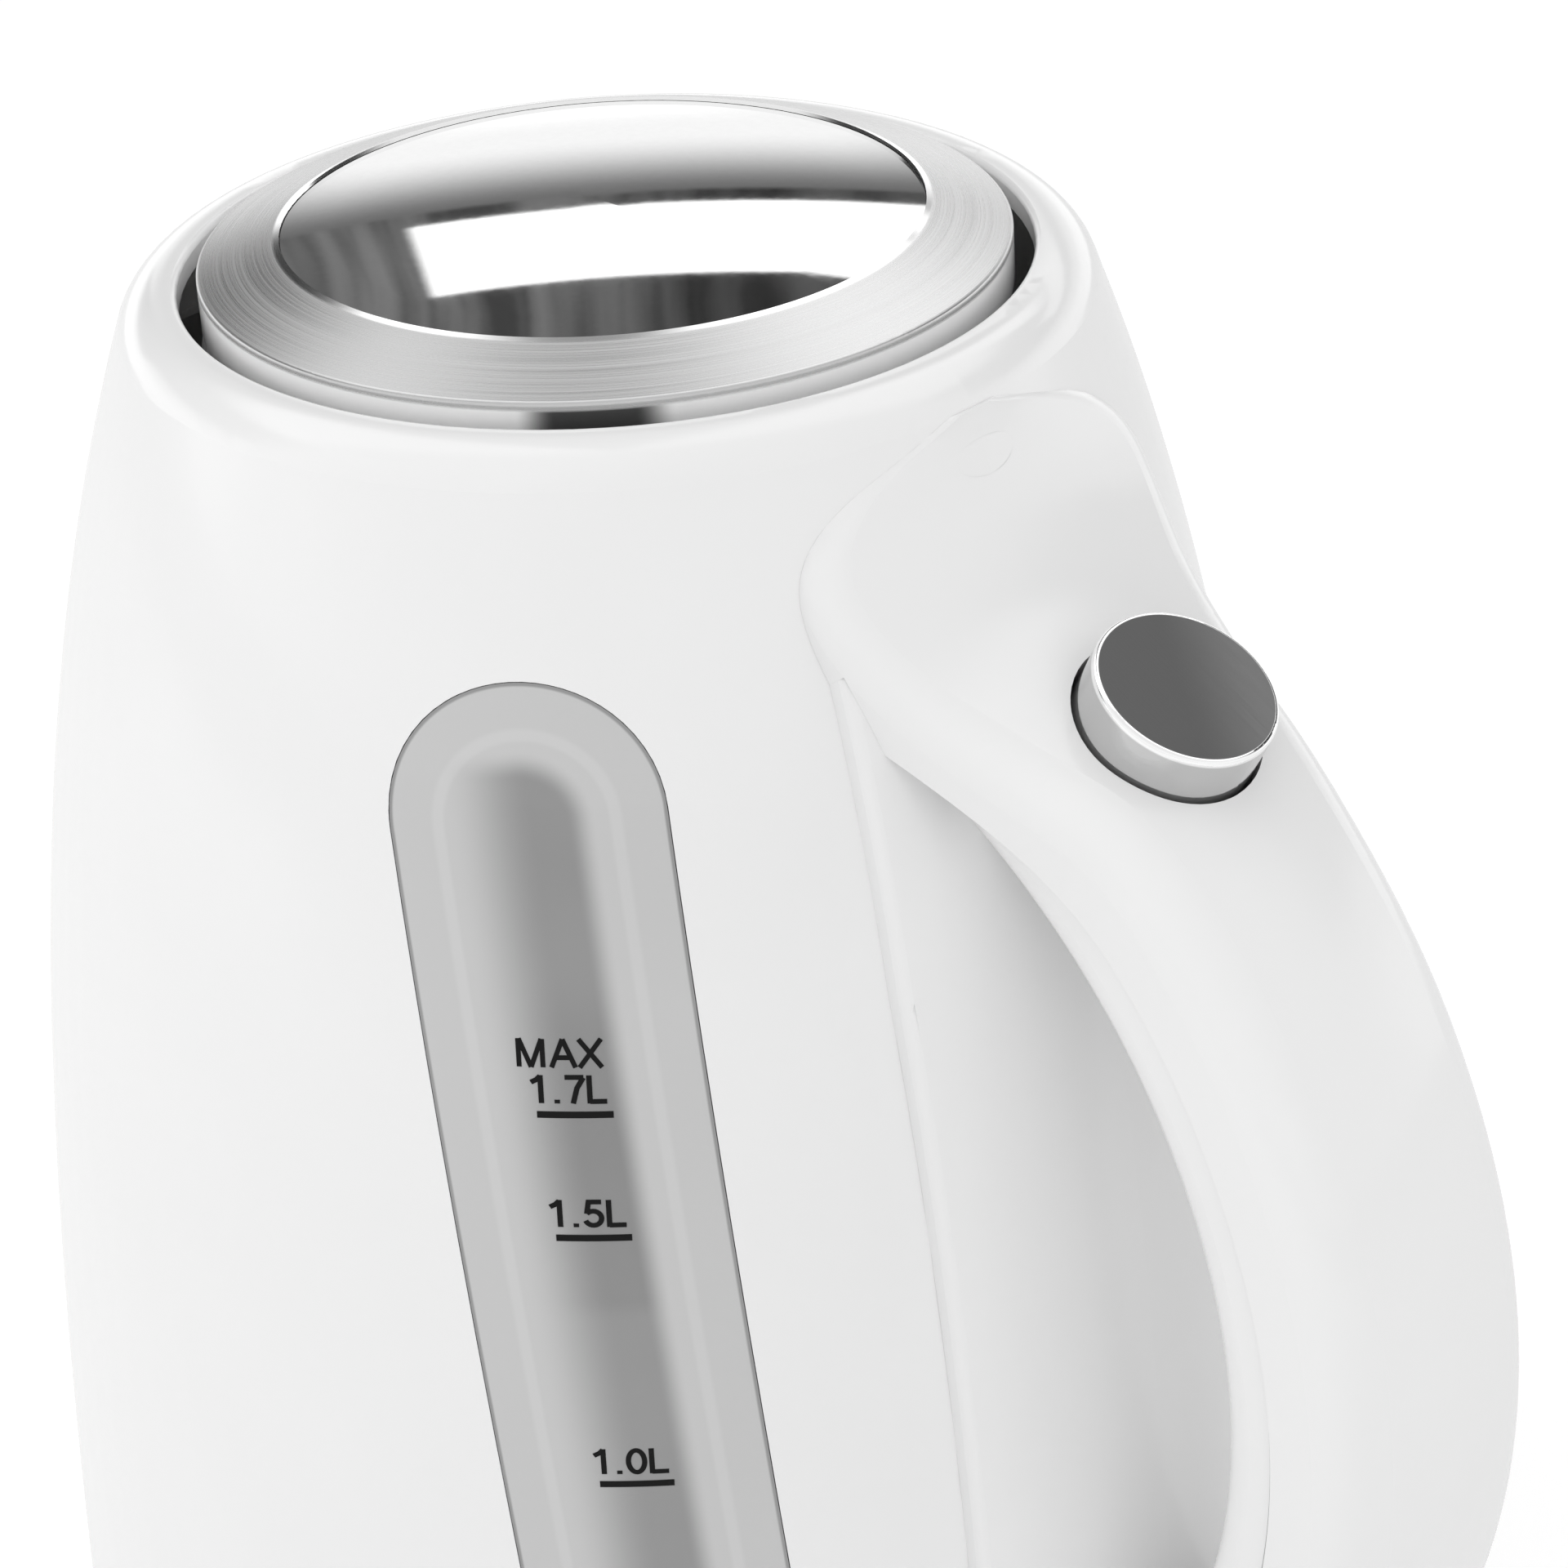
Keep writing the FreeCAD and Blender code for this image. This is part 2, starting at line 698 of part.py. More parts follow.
def grip_profile(inset):
    """Section of the finger side: full width at the seam, round corners at the fingers."""
    half = grip_half_width - grip_inset - inset
    corner = grip_inner_corner - inset
    spread = corner * (1 - math.sqrt(0.5))
    seam = handle_seam_radius
    inner = handle_inner_radius + inset

    def spot(radius, y):
        return handle_centre + Vector(radius, y, 0)

    return Part.Face(Part.Wire([
        Part.makeLine(spot(seam, -half), spot(seam, half)),
        Part.makeLine(spot(seam, half), spot(inner + corner, half)),
        Part.Arc(spot(inner + corner, half), spot(inner + spread, half - spread),
                 spot(inner, half - corner)).toShape(),
        Part.makeLine(spot(inner, half - corner), spot(inner, corner - half)),
        Part.Arc(spot(inner, corner - half), spot(inner + spread, spread - half),
                 spot(inner + corner, -half)).toShape(),
        Part.makeLine(spot(inner + corner, -half), spot(seam, -half)),
    ]))


def make_handle_grip():
    def sweep(face, low, high):
        face.rotate(handle_centre, ACROSS, -low)
        return face.revolve(handle_centre, ACROSS, low - high)

    grip = sweep(grip_profile(0), grip_low, grip_high)
    hollow = sweep(grip_profile(handle_wall), grip_hollow_low, grip_high)
    grip = grip.cut(hollow).cut(outside).cut(spine_form()).cut(below_foot()).cut(latch_slot())
    return max(grip.Solids, key=lambda s: s.Volume)


# Release button and latch

def button_cylinder(radius, low, high):
    return Part.makeCylinder(radius, high - low, button_centre + button_axis * low, button_axis)


def make_button_cap():
    cap = button_cylinder(button_radius, -button_skirt, button_proud)
    top = [e for e in cap.Edges if e.Curve.TypeId == "Part::GeomCircle"
           and (e.CenterOfMass - button_centre).dot(button_axis) > button_proud / 2]
    cap = cap.makeFillet(button_edge, top)
    return cap.cut(button_cylinder(button_radius - button_shell, -button_skirt, button_proud - button_shell))


def make_button_stem():
    head = button_cylinder(button_radius - button_shell, 0, button_proud - button_shell)
    return head.fuse(button_cylinder(stem_radius, -stem_reach, 0))


def make_button_guide():
    outer = button_radius + button_gap + guide_wall
    cup = button_cylinder(outer, -guide_floor_depth - guide_floor, 0)
    cup = cup.common(handle_form(handle_wall, len(head_shares) - 1)).cut(spine_form())
    cup = cup.cut(button_cylinder(button_radius + button_gap, -guide_floor_depth, 0))
    return cup.cut(button_cylinder(stem_radius + running_gap, -2 * guide_floor_depth, 0))


def make_button_spring():
    base = button_centre - button_axis * (guide_floor_depth - spring_wire)
    length = guide_floor_depth - 2 * spring_wire
    return coil(base, button_axis, ACROSS, button_spring_radius, spring_wire, button_spring_turns, length, 0)


def make_latch_lever():
    nose = Vector(latch_nose_x, 0, rim - latch_nose_drop)
    elbow = Vector(latch_nose_x + latch_arm, 0, nose.z - latch_arm)
    sides = latch_outer_arm(latch_arm)
    sides += [
        bar_face(latch_pivot, elbow, latch_arm),
        bar_face(elbow, nose + Vector(latch_arm / 2, 0, 0), latch_arm),
    ]
    lever = rod_across(latch_eye, latch_half_width, latch_pivot)
    for side in sides:
        lever = lever.fuse(slab_across(side, -latch_half_width, latch_half_width))
    return lever.cut(rod_across(latch_pin_radius + running_gap, 2 * latch_half_width, latch_pivot)).removeSplitter()


def make_latch_pin():
    return rod_across(latch_pin_radius, latch_half_width + latch_play + latch_lug, latch_pivot)


# Lid

def make_lid_ring():
    edge = rim + lid_edge_rise
    inner = disc_radius + lid_fit
    top = rim + disc_rise
    skirt = rim - lid_skirt
    shell = turned([
        (lid_radius, skirt), (lid_radius, edge), (inner, top), (inner, top - lid_sheet),
        (lid_radius - lid_sheet, edge - lid_sheet), (lid_radius - lid_sheet, skirt),
    ])
    brow = [e for e in shell.Edges if abs(e.BoundBox.XMax - lid_radius) < 0.01
            and abs(e.BoundBox.ZMax - edge) < 0.01]
    return shell.makeFillet(lid_edge_round, brow)


def make_lid_disc():
    low = rim + disc_rise - disc_thickness
    edge = rim + disc_rise - lid_edge_round
    crown = Vector(0, 0, edge + disc_dome)
    bulge = disc_radius * math.sin(math.pi / 4)
    sphere = (disc_radius ** 2 + disc_dome ** 2) / (2 * disc_dome)
    middle = Vector(bulge, 0, crown.z - sphere + math.sqrt(sphere ** 2 - bulge ** 2))
    edges = [
        Part.makeLine(Vector(0, 0, low), Vector(disc_radius, 0, low)),
        Part.makeLine(Vector(disc_radius, 0, low), Vector(disc_radius, 0, edge)),
        Part.Arc(Vector(disc_radius, 0, edge), middle, crown).toShape(),
        Part.makeLine(crown, Vector(0, 0, low)),
    ]
    return Part.Face(Part.Wire(edges)).revolve(Vector(), UP, 360)


def hinge_pocket():
    return block(hinge_pocket_front, lid_radius, -hinge_pocket_half_width, hinge_pocket_half_width,
                 rim - 3 * lid_skirt, rim + disc_rise - disc_thickness)


def make_lid_frame():
    """Carrier under the steel: a dish with a rim, a hinge pocket and two knuckles."""
    sheet = lid_sheet + lid_fit
    low = rim - lid_skirt
    edge = rim + lid_edge_rise - sheet
    top = rim + disc_rise - sheet
    rest = rim + disc_rise - disc_thickness
    outer = lid_radius - sheet
    floor = rest - lid_frame_wall
    body = turned([
        (0, rest), (0, floor), (disc_radius - lid_frame_wall, floor),
        (outer - lid_frame_wall, edge - lid_frame_wall), (outer - lid_frame_wall, low),
        (outer, low), (outer, edge), (disc_radius + lid_fit, top), (disc_radius, rest),
    ])
    body = body.cut(hinge_pocket())
    strap_start = hinge_pocket_front - 2 * lid_frame_wall
    for y0, y1 in ((knuckle_inner, knuckle_outer), (-knuckle_outer, -knuckle_inner)):
        strap = polygon_face([
            Vector(strap_start, 0, floor), Vector(strap_start, 0, rest), Vector(hinge_pocket_front, 0, rest),
            Vector(hinge_x, 0, rim + hinge_eye), Vector(hinge_x, 0, rim - hinge_eye),
        ])
        body = body.fuse(slab_across(strap, y0, y1))
        eye = rod_across(hinge_eye, (y1 - y0) / 2, hinge_axis_point + ACROSS * ((y0 + y1) / 2))
        body = body.fuse(eye)
    body = body.cut(rod_across(hinge_pin_radius + running_gap, lid_radius, hinge_axis_point))
    return max(body.Solids, key=lambda s: s.Volume)


def make_lid_underplate():
    """Splash plate under the lid, cut away behind for the hinge and pierced for steam."""
    high = rim - lid_skirt
    low = high - underplate_thickness
    plate = disc(lid_radius - lid_sheet - lid_fit, low, high)
    plate = plate.cut(block(hinge_pocket_front, lid_radius, -lid_radius, lid_radius, low, high))
    for place in around(steam_hole_count, steam_hole_circle):
        plate = plate.cut(disc(steam_hole_radius, low, high, place.x, place.y))
    return plate


def make_hinge_carrier():
    """Bracket inside the neck: a plate on the wall, two arms to the hinge and two ears for the latch."""
    half = carrier_plate_half_width
    low = rim - carrier_plate_bottom_drop
    high = rim - carrier_plate_top_drop
    bracket = inside.cut(jug_form(-wall - carrier_plate))
    bracket = bracket.common(block(0, foot_radius, -half, half, low, high))
    bracket = bracket.cut(block(0, foot_radius, -latch_slot_half_width, latch_slot_half_width, low, high))
    knee = Vector(carrier_knee_x, 0, rim - carrier_knee_drop)
    heel = Vector(radius_at(rim - carrier_heel_drop), 0, rim - carrier_heel_drop)
    sole = bar_face(knee, heel, carrier_arm_width)
    riser = bar_face(knee, hinge_axis_point, carrier_arm_width)
    ear = bar_face(latch_pivot, Vector(heel.x + latch_eye, 0, latch_pivot.z), 2 * latch_eye)
    ear_inner = latch_half_width + latch_play
    arm_middle = ACROSS * ((carrier_arm_inner + carrier_arm_outer) / 2)
    arm_half = (carrier_arm_outer - carrier_arm_inner) / 2
    for sign in (1, -1):
        bracket = bracket.fuse(slab_across(sole, sign * carrier_arm_inner, sign * carrier_arm_outer).common(inside))
        bracket = bracket.fuse(slab_across(riser, sign * carrier_arm_inner, sign * carrier_arm_outer))
        bracket = bracket.fuse(rod_across(hinge_eye, arm_half, hinge_axis_point + arm_middle * sign))
        bracket = bracket.fuse(slab_across(ear, sign * ear_inner, sign * (ear_inner + latch_lug)).common(inside))
    bracket = bracket.fuse(rod_across(carrier_arm_width / 2, carrier_arm_outer, knee))
    bracket = bracket.cut(rod_across(hinge_pin_radius, carrier_arm_outer, hinge_axis_point))
    return bracket.cut(rod_across(latch_pin_radius, ear_inner + latch_lug, latch_pivot)).removeSplitter()


def make_hinge_pin():
    return rod_across(hinge_pin_radius, carrier_arm_outer, hinge_axis_point)


def make_lid_spring():
    start = hinge_axis_point - ACROSS * lid_spring_half_length
    return coil(start, ACROSS, UP, lid_spring_radius, spring_wire, lid_spring_turns,
                2 * lid_spring_half_length, lid_spring_leg)


# Heater and control

plate_radius = radius_at(floor_z, -wall) - plate_margin
socket_bore = tower_radius + socket_gap
socket_radius = socket_bore + socket_wall
cover_bottom = cover_top - cover_plate


def stud_places():
    return around(stud_count, stud_circle, 180 / stud_count)


def steam_tube_cylinder(radius):
    """Leaning riser from above the water to below the heater plate."""
    top = Vector(steam_tube_top_x, 0, rim - steam_tube_top_drop)
    bottom = Vector(steam_tube_bottom_x, 0, plate_bottom - steam_tube_stub)
    return Part.makeCylinder(radius, (top - bottom).Length, bottom, top - bottom)


def make_heater_plate():
    plate = disc(plate_radius, plate_bottom, floor_z)
    for place in stud_places():
        plate = plate.fuse(disc(stud_radius, cover_top, plate_bottom, place.x, place.y))
        plate = plate.cut(disc(screw_shank_radius, cover_top, cover_bottom + cover_screw_length, place.x, place.y))
    return plate.cut(steam_tube_cylinder(steam_tube_outer))


def make_plate_seal():
    inner = radius_at(floor_z, -wall) - seat_rib
    return ring(plate_radius, inner, floor_z, floor_z + plate_seal_thickness)


def make_heat_spreader():
    return disc(spreader_radius, spreader_bottom, plate_bottom)


def make_heating_element():
    """Tubular element in an open ring under the spreader."""
    centre = Vector(0, 0, spreader_bottom - element_tube)
    tube = Part.makeTorus(element_radius, element_tube, centre, UP, -180, 180, 360 - element_gap)
    tube.rotate(Vector(), UP, element_gap / 2)
    return tube


def make_element_terminals():
    angle = math.radians(element_gap / 2)
    pins = []
    for sign in (1, -1):
        end = Vector(element_radius * math.cos(angle), sign * element_radius * math.sin(angle),
                     spreader_bottom - element_tube)
        tangent = Vector(math.sin(angle), -sign * math.cos(angle), 0)
        pins.append(Part.makeCylinder(terminal_radius, terminal_length, end, tangent))
    return Part.makeCompound(pins)


def make_control_block():
    """Thermostat body with an arm that carries the steam disc under the riser's outlet."""
    body = disc(control_radius, control_bottom, spreader_bottom)
    arm = block(0, control_arm_reach, -control_arm_half_width, control_arm_half_width,
                spreader_bottom - control_arm_height, spreader_bottom)
    return body.fuse(arm).removeSplitter()


def make_bimetal_disc():
    high = spreader_bottom - control_arm_height
    return disc(bimetal_radius, high - bimetal_thickness, high, control_arm_reach - bimetal_radius)


def make_socket_ring():
    return ring(socket_radius, socket_bore, socket_bottom, control_bottom)


def make_socket_contacts():
    low = control_bottom - socket_pin_length
    middle = tower_groove_radius - tower_groove_width / 2
    pins = [disc(socket_pin_radius, low, control_bottom)]
    for sign in (1, -1):
        half = contact_thickness / 2
        pins.append(block(-socket_blade_width / 2, socket_blade_width / 2,
                          sign * middle - half, sign * middle + half, low, control_bottom))
    return Part.makeCompound(pins)


def make_steam_tube():
    return steam_tube_cylinder(steam_tube_outer).cut(steam_tube_cylinder(steam_tube_bore))


# Bottom cover and paddle

def make_bottom_cover():
    """Closing plate with a clamping ring above, a standing ring below and lugs for the paddle."""
    cover = disc(radius_at(cover_bottom, -wall) - cover_gap, cover_bottom, cover_top)
    cover = cover.fuse(ring(plate_radius, plate_radius - clamp_wall, cover_top, plate_bottom))
    cover = cover.cut(paddle_slot())
    cover = cover.fuse(ring(standing_ring_radius, standing_ring_radius - standing_ring_width,
                            base_top, cover_bottom))
    cover = cover.cut(disc(socket_radius + cover_gap, cover_bottom, cover_top))
    lug_inner = paddle_half_width + paddle_side_gap
    for y0 in (lug_inner, -lug_inner - paddle_lug):
        cover = cover.fuse(block(paddle_pivot_x - paddle_eye, paddle_pivot_x + paddle_eye, y0, y0 + paddle_lug,
                                 cover_top, paddle_pivot_z + paddle_eye))
    cover = cover.cut(rod_across(paddle_pin_radius, lug_inner + paddle_lug, paddle_pivot))
    for place in stud_places():
        cover = cover.cut(disc(screw_shank_radius + screw_fit, cover_bottom, cover_top, place.x, place.y))
    return cover.removeSplitter()


def make_cover_screws():
    return Part.makeCompound([
        screw(place, cover_bottom - screw_head_height, cover_screw_length) for place in stud_places()
    ])


def make_switch_paddle():
    """Rocking plate with a rounded finger end outside the shell."""
    half = paddle_thickness / 2
    tip_z = paddle_pivot_z + paddle_lift
    side = polygon_face([
        Vector(paddle_pivot_x, 0, paddle_pivot_z - half), Vector(paddle_reach, 0, tip_z - half),
        Vector(paddle_reach, 0, tip_z + half), Vector(paddle_pivot_x, 0, paddle_pivot_z + half),
    ])
    plate = slab_across(side, -paddle_half_width, paddle_half_width)
    tips = [e for e in plate.Edges if e.BoundBox.XMin > paddle_reach - half and e.BoundBox.YLength < half]
    plate = plate.makeFillet(paddle_end_round, tips)
    plate = plate.fuse(rod_across(paddle_eye, paddle_half_width, paddle_pivot))
    return plate.cut(rod_across(paddle_pin_radius + running_gap, paddle_half_width, paddle_pivot)).removeSplitter()


def make_switch_pin():
    return rod_across(paddle_pin_radius, paddle_half_width + paddle_side_gap + paddle_lug, paddle_pivot)


# Power base

base_cover_top = base_bottom_gap + base_cover_plate
base_boss_top = base_bottom_gap + screw_recess + screw_head_height + base_boss_floor
deck_bottom = base_top - base_wall
base_wall_x = base_radius - base_draft


def base_form(inset):
    """Outside of the base's housing, drawn in by inset."""
    form = turned([
        (0, base_bottom_gap), (base_wall_x - inset, base_bottom_gap),
        (base_radius - inset, base_top - inset), (0, base_top - inset),
    ])
    brow = [e for e in form.Edges if e.BoundBox.ZMin > base_top / 2 and e.BoundBox.YLength > base_radius]
    return form.makeFillet(base_edge_round - inset, brow)


def base_screw_places():
    return around(base_screw_count, base_screw_circle, 180 / base_screw_count)


def gland_cylinder(radius, start, end):
    return Part.makeCylinder(radius, end - start, Vector(start, 0, gland_z), Vector(1, 0, 0))


def make_base_housing():
    housing = base_form(0).cut(base_form(base_wall))
    for place in base_screw_places():
        housing = housing.fuse(disc(base_post_radius, base_boss_top, deck_bottom, place.x, place.y))
        housing = housing.cut(disc(screw_shank_radius, base_boss_top, deck_bottom - base_wall, place.x, place.y))
    housing = housing.cut(disc(tower_radius, deck_bottom, base_top))
    return housing.cut(gland_cylinder(gland_radius, base_radius - gland_length, 2 * base_radius)).removeSplitter()


def make_base_bottom():
    """Lower cover with the drum that the cord winds on, and recesses for pads and screws."""
    cover = disc(base_wall_x - base_wall - cover_gap, base_bottom_gap, base_cover_top)
    cover = cover.fuse(disc(drum_radius, 0, base_bottom_gap))
    for place in base_screw_places():
        cover = cover.fuse(disc(base_boss_radius, base_bottom_gap, base_boss_top, place.x, place.y))
        cover = cover.cut(disc(screw_head_radius + screw_fit, base_bottom_gap,
                               base_boss_top - base_boss_floor, place.x, place.y))
        cover = cover.cut(disc(screw_shank_radius + screw_fit, base_bottom_gap, base_boss_top, place.x, place.y))
    for place in around(foot_pad_count, base_radius - base_foot_inset, 180 / foot_pad_count):
        cover = cover.cut(disc(foot_pad_radius, base_bottom_gap, base_bottom_gap + foot_pad_recess, place.x, place.y))
    return cover.removeSplitter()


def make_base_feet():
    places = around(foot_pad_count, base_radius - base_foot_inset, 180 / foot_pad_count)
    return Part.makeCompound([
        disc(foot_pad_radius, 0, base_bottom_gap + foot_pad_recess, place.x, place.y) for place in places
    ])


def make_base_connector():
    """Round plug that stands through the deck, with a bore and a ring groove for the contacts."""
    top = base_top + tower_height
    tower = disc(tower_radius, deck_bottom - tower_flange, top)
    tower = tower.fuse(disc(tower_flange_radius, deck_bottom - tower_flange, deck_bottom))
    floor = top - tower_groove_depth
    tower = tower.cut(disc(tower_bore, floor, top))
    tower = tower.cut(ring(tower_groove_radius, tower_groove_radius - tower_groove_width, floor, top))
    return tower.removeSplitter()


def make_base_contacts():
    top = base_top + tower_height
    floor = top - tower_groove_depth
    sleeve = ring(tower_bore, tower_bore - contact_thickness, floor, top - contact_drop)
    band = ring(tower_groove_radius, tower_groove_radius - contact_thickness, floor, top - contact_drop)
    return Part.makeCompound([sleeve, band])


def make_base_screws():
    low = base_boss_top - base_boss_floor - screw_head_height
    return Part.makeCompound([screw(place, low, base_screw_length) for place in base_screw_places()])


def make_cord_gland():
    barrel = gland_cylinder(gland_radius, base_radius - gland_length, base_radius)
    flange = gland_cylinder(gland_flange_radius, base_radius - gland_flange, base_radius + gland_flange)
    gland = barrel.fuse(flange.cut(base_form(0)))
    return gland.cut(gland_cylinder(gland_bore, 0, 2 * base_radius)).removeSplitter()


parts = {
    "jug_body": make_jug_body(),
    "window_lens": make_window_lens(),
    "window_seal": make_window_seal(),
    "spout_filter": make_spout_filter(),
    "handle_spine": make_handle_spine(),
    "handle_shell": make_handle_shell(),
    "handle_grip": make_handle_grip(),
    "button_cap": make_button_cap(),
    "button_stem": make_button_stem(),
    "button_guide": make_button_guide(),
    "button_spring": make_button_spring(),
    "latch_lever": make_latch_lever(),
    "latch_pin": make_latch_pin(),
    "lid_ring": make_lid_ring(),
    "lid_disc": make_lid_disc(),
    "lid_frame": make_lid_frame(),
    "lid_underplate": make_lid_underplate(),
    "hinge_carrier": make_hinge_carrier(),
    "hinge_pin": make_hinge_pin(),
    "lid_spring": make_lid_spring(),
    "heater_plate": make_heater_plate(),
    "plate_seal": make_plate_seal(),
    "heat_spreader": make_heat_spreader(),
    "heating_element": make_heating_element(),
    "element_terminals": make_element_terminals(),
    "control_block": make_control_block(),
    "bimetal_disc": make_bimetal_disc(),
    "socket_ring": make_socket_ring(),
    "socket_contacts": make_socket_contacts(),
    "steam_tube": make_steam_tube(),
    "bottom_cover": make_bottom_cover(),
    "cover_screws": make_cover_screws(),
    "switch_paddle": make_switch_paddle(),
    "switch_pin": make_switch_pin(),
    "base_housing": make_base_housing(),
    "base_bottom": make_base_bottom(),
    "base_feet": make_base_feet(),
    "base_connector": make_base_connector(),
    "base_contacts": make_base_contacts(),
    "base_screws": make_base_screws(),
    "cord_gland": make_cord_gland(),
}
for name, shape in parts.items():
    print(name, shape.isValid(), len(shape.Solids), round(shape.Volume, 1))
    save(name, shape)
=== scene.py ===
import json
import math

import bmesh
import bpy
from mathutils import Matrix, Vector


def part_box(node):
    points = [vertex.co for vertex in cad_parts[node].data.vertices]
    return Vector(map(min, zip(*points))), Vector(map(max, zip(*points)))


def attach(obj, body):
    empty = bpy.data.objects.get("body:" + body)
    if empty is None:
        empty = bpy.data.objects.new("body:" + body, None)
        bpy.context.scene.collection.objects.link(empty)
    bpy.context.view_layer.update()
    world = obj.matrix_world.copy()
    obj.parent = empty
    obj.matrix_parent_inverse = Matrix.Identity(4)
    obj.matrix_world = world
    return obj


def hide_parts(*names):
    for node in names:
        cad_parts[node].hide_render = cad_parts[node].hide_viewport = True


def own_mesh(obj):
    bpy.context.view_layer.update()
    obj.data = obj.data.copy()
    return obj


bl_info = {
    "name": "Electric kettle",
    "version": (1, 0, 0),
    "blender": (4, 5, 0),
    "location": "View3D > Sidebar > Kettle",
    "description": "Finishes, level marks and studio for a cordless electric kettle",
    "category": "Object",
}

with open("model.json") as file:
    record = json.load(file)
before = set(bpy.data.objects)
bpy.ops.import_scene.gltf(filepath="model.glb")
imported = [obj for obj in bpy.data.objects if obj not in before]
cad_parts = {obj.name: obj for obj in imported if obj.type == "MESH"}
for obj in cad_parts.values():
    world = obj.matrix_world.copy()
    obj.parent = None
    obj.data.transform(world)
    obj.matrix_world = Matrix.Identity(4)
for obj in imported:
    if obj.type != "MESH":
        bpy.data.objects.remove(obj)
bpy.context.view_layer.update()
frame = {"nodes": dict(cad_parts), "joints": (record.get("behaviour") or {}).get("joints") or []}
NODES = frame["nodes"]
JOINTS = {joint["name"]: joint for joint in frame["joints"]}
UP = Vector((0, 0, 1))


def bearing(degrees):
    """Level direction at an angle from the handle's side, +X."""
    angle = math.radians(degrees)
    return Vector((math.cos(angle), math.sin(angle), 0))


# Jug: its side is one curve from the lip down to the foot. The lid's hinge lies in the rim's plane
RIM = JOINTS["lid_hinge"]["pos_m"][2]
JUG_LOW, JUG_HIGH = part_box("jug_body")
FOOT_Z = JUG_LOW.z
FOOT_RADIUS = JUG_HIGH.y
FOOT_LEAN = math.radians(1.4)
LIP_CENTRE_RADIUS = 0.049
LIP_ROUND = 0.0062
LIP_CREST = 0.0004
NECK_LEAN = math.radians(19.5)
SHOULDER_PULL = 0.034
BELLY_PULL = 0.113
HALVINGS = 40

# Window: a slanting slot between the centres of its round ends
WINDOW_AZIMUTH = -51
OUTWARDS = bearing(WINDOW_AZIMUTH)
SIDEWAYS = bearing(WINDOW_AZIMUTH + 90)
WINDOW_HALF_WIDTH = 0.0146
WINDOW_TOP_DROP = 0.0221
WINDOW_TOP_SHIFT = -0.0026
WINDOW_FOOT_DROP = 0.160
WINDOW_FOOT_SHIFT = 0.0082
WINDOW_TOP = SIDEWAYS * WINDOW_TOP_SHIFT + UP * (RIM - WINDOW_TOP_DROP - WINDOW_HALF_WIDTH)
WINDOW_FOOT = SIDEWAYS * WINDOW_FOOT_SHIFT + UP * (RIM - WINDOW_FOOT_DROP + WINDOW_HALF_WIDTH)

# Release button, tilted in the handle's head
BUTTON_X = 0.0809
BUTTON_DROP = 0.0317
BUTTON_TILT = math.radians(28)
BUTTON_CENTRE = Vector((BUTTON_X, 0, RIM - BUTTON_DROP))
BUTTON_AXIS = Vector((math.sin(BUTTON_TILT), 0, math.cos(BUTTON_TILT)))
BUTTON_RADIUS = 0.0102

# Handle: arcs about one centre, with the seam between shell and finger side. Angles in degrees
HANDLE_X = 0.024
HANDLE_DROP = 0.107
HANDLE_Z = RIM - HANDLE_DROP
HANDLE_RADIUS = 0.096
SHELL_DEPTH = 0.0127
SEAM_RADIUS = HANDLE_RADIUS - SHELL_DEPTH
SEAM_INSET = 0.00002
SEAM_LOW = -48.0
SEAM_HIGH = 40.0
SEAM_STEPS = 60
GRIP_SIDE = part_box("handle_grip")[1].y

WHITE_MOULDINGS = ("jug_body", "handle_shell", "handle_grip", "handle_spine", "base_housing")
GREY_MOULDINGS = (
    "spout_filter", "button_stem", "button_guide", "latch_lever", "lid_frame", "hinge_carrier",
    "steam_tube", "bottom_cover", "base_bottom", "switch_paddle",
)
BLACK_MOULDINGS = ("control_block", "socket_ring", "base_connector", "cord_gland")
RUBBER_PIECES = ("window_seal", "plate_seal", "base_feet")
BRIGHT_STEEL = (
    "button_spring", "latch_pin", "hinge_pin", "lid_spring", "element_terminals", "cover_screws",
    "switch_pin", "base_screws",
)
SATIN_STEEL = ("heater_plate", "lid_underplate", "bimetal_disc")
ALUMINIUM_PIECES = ("heat_spreader", "heating_element")
BRASS_PIECES = ("socket_contacts", "base_contacts")


class KettleSizes(bpy.types.PropertyGroup):
    """Sizes of what is printed and moulded on the kettle."""

    letter_height: bpy.props.FloatProperty(
        name="Letter height", description="Cap height of the level marks",
        default=0.00315, unit="LENGTH")
    print_thickness: bpy.props.FloatProperty(
        name="Print thickness", description="Ink above the window",
        default=0.00004, unit="LENGTH")
    tick_length: bpy.props.FloatProperty(
        name="Tick length", description="Length of each level line",
        default=0.0081, unit="LENGTH")
    tick_width: bpy.props.FloatProperty(
        name="Tick width", description="Width of each level line",
        default=0.00075, unit="LENGTH")
    seam_width: bpy.props.FloatProperty(
        name="Seam width", description="Shadow line of the handle's seam",
        default=0.0004, unit="LENGTH")
    rib_count: bpy.props.IntProperty(
        name="Paddle ribs", description="Finger ribs on the on/off paddle",
        default=4, min=1)
    rib_pitch: bpy.props.FloatProperty(
        name="Rib pitch", description="Spacing of the finger ribs",
        default=0.0018, unit="LENGTH")
    rib_radius: bpy.props.FloatProperty(
        name="Rib radius", description="Half thickness of a finger rib",
        default=0.00045, unit="LENGTH")
    rib_length: bpy.props.FloatProperty(
        name="Rib length", description="Length of a finger rib across the paddle",
        default=0.013, unit="LENGTH")


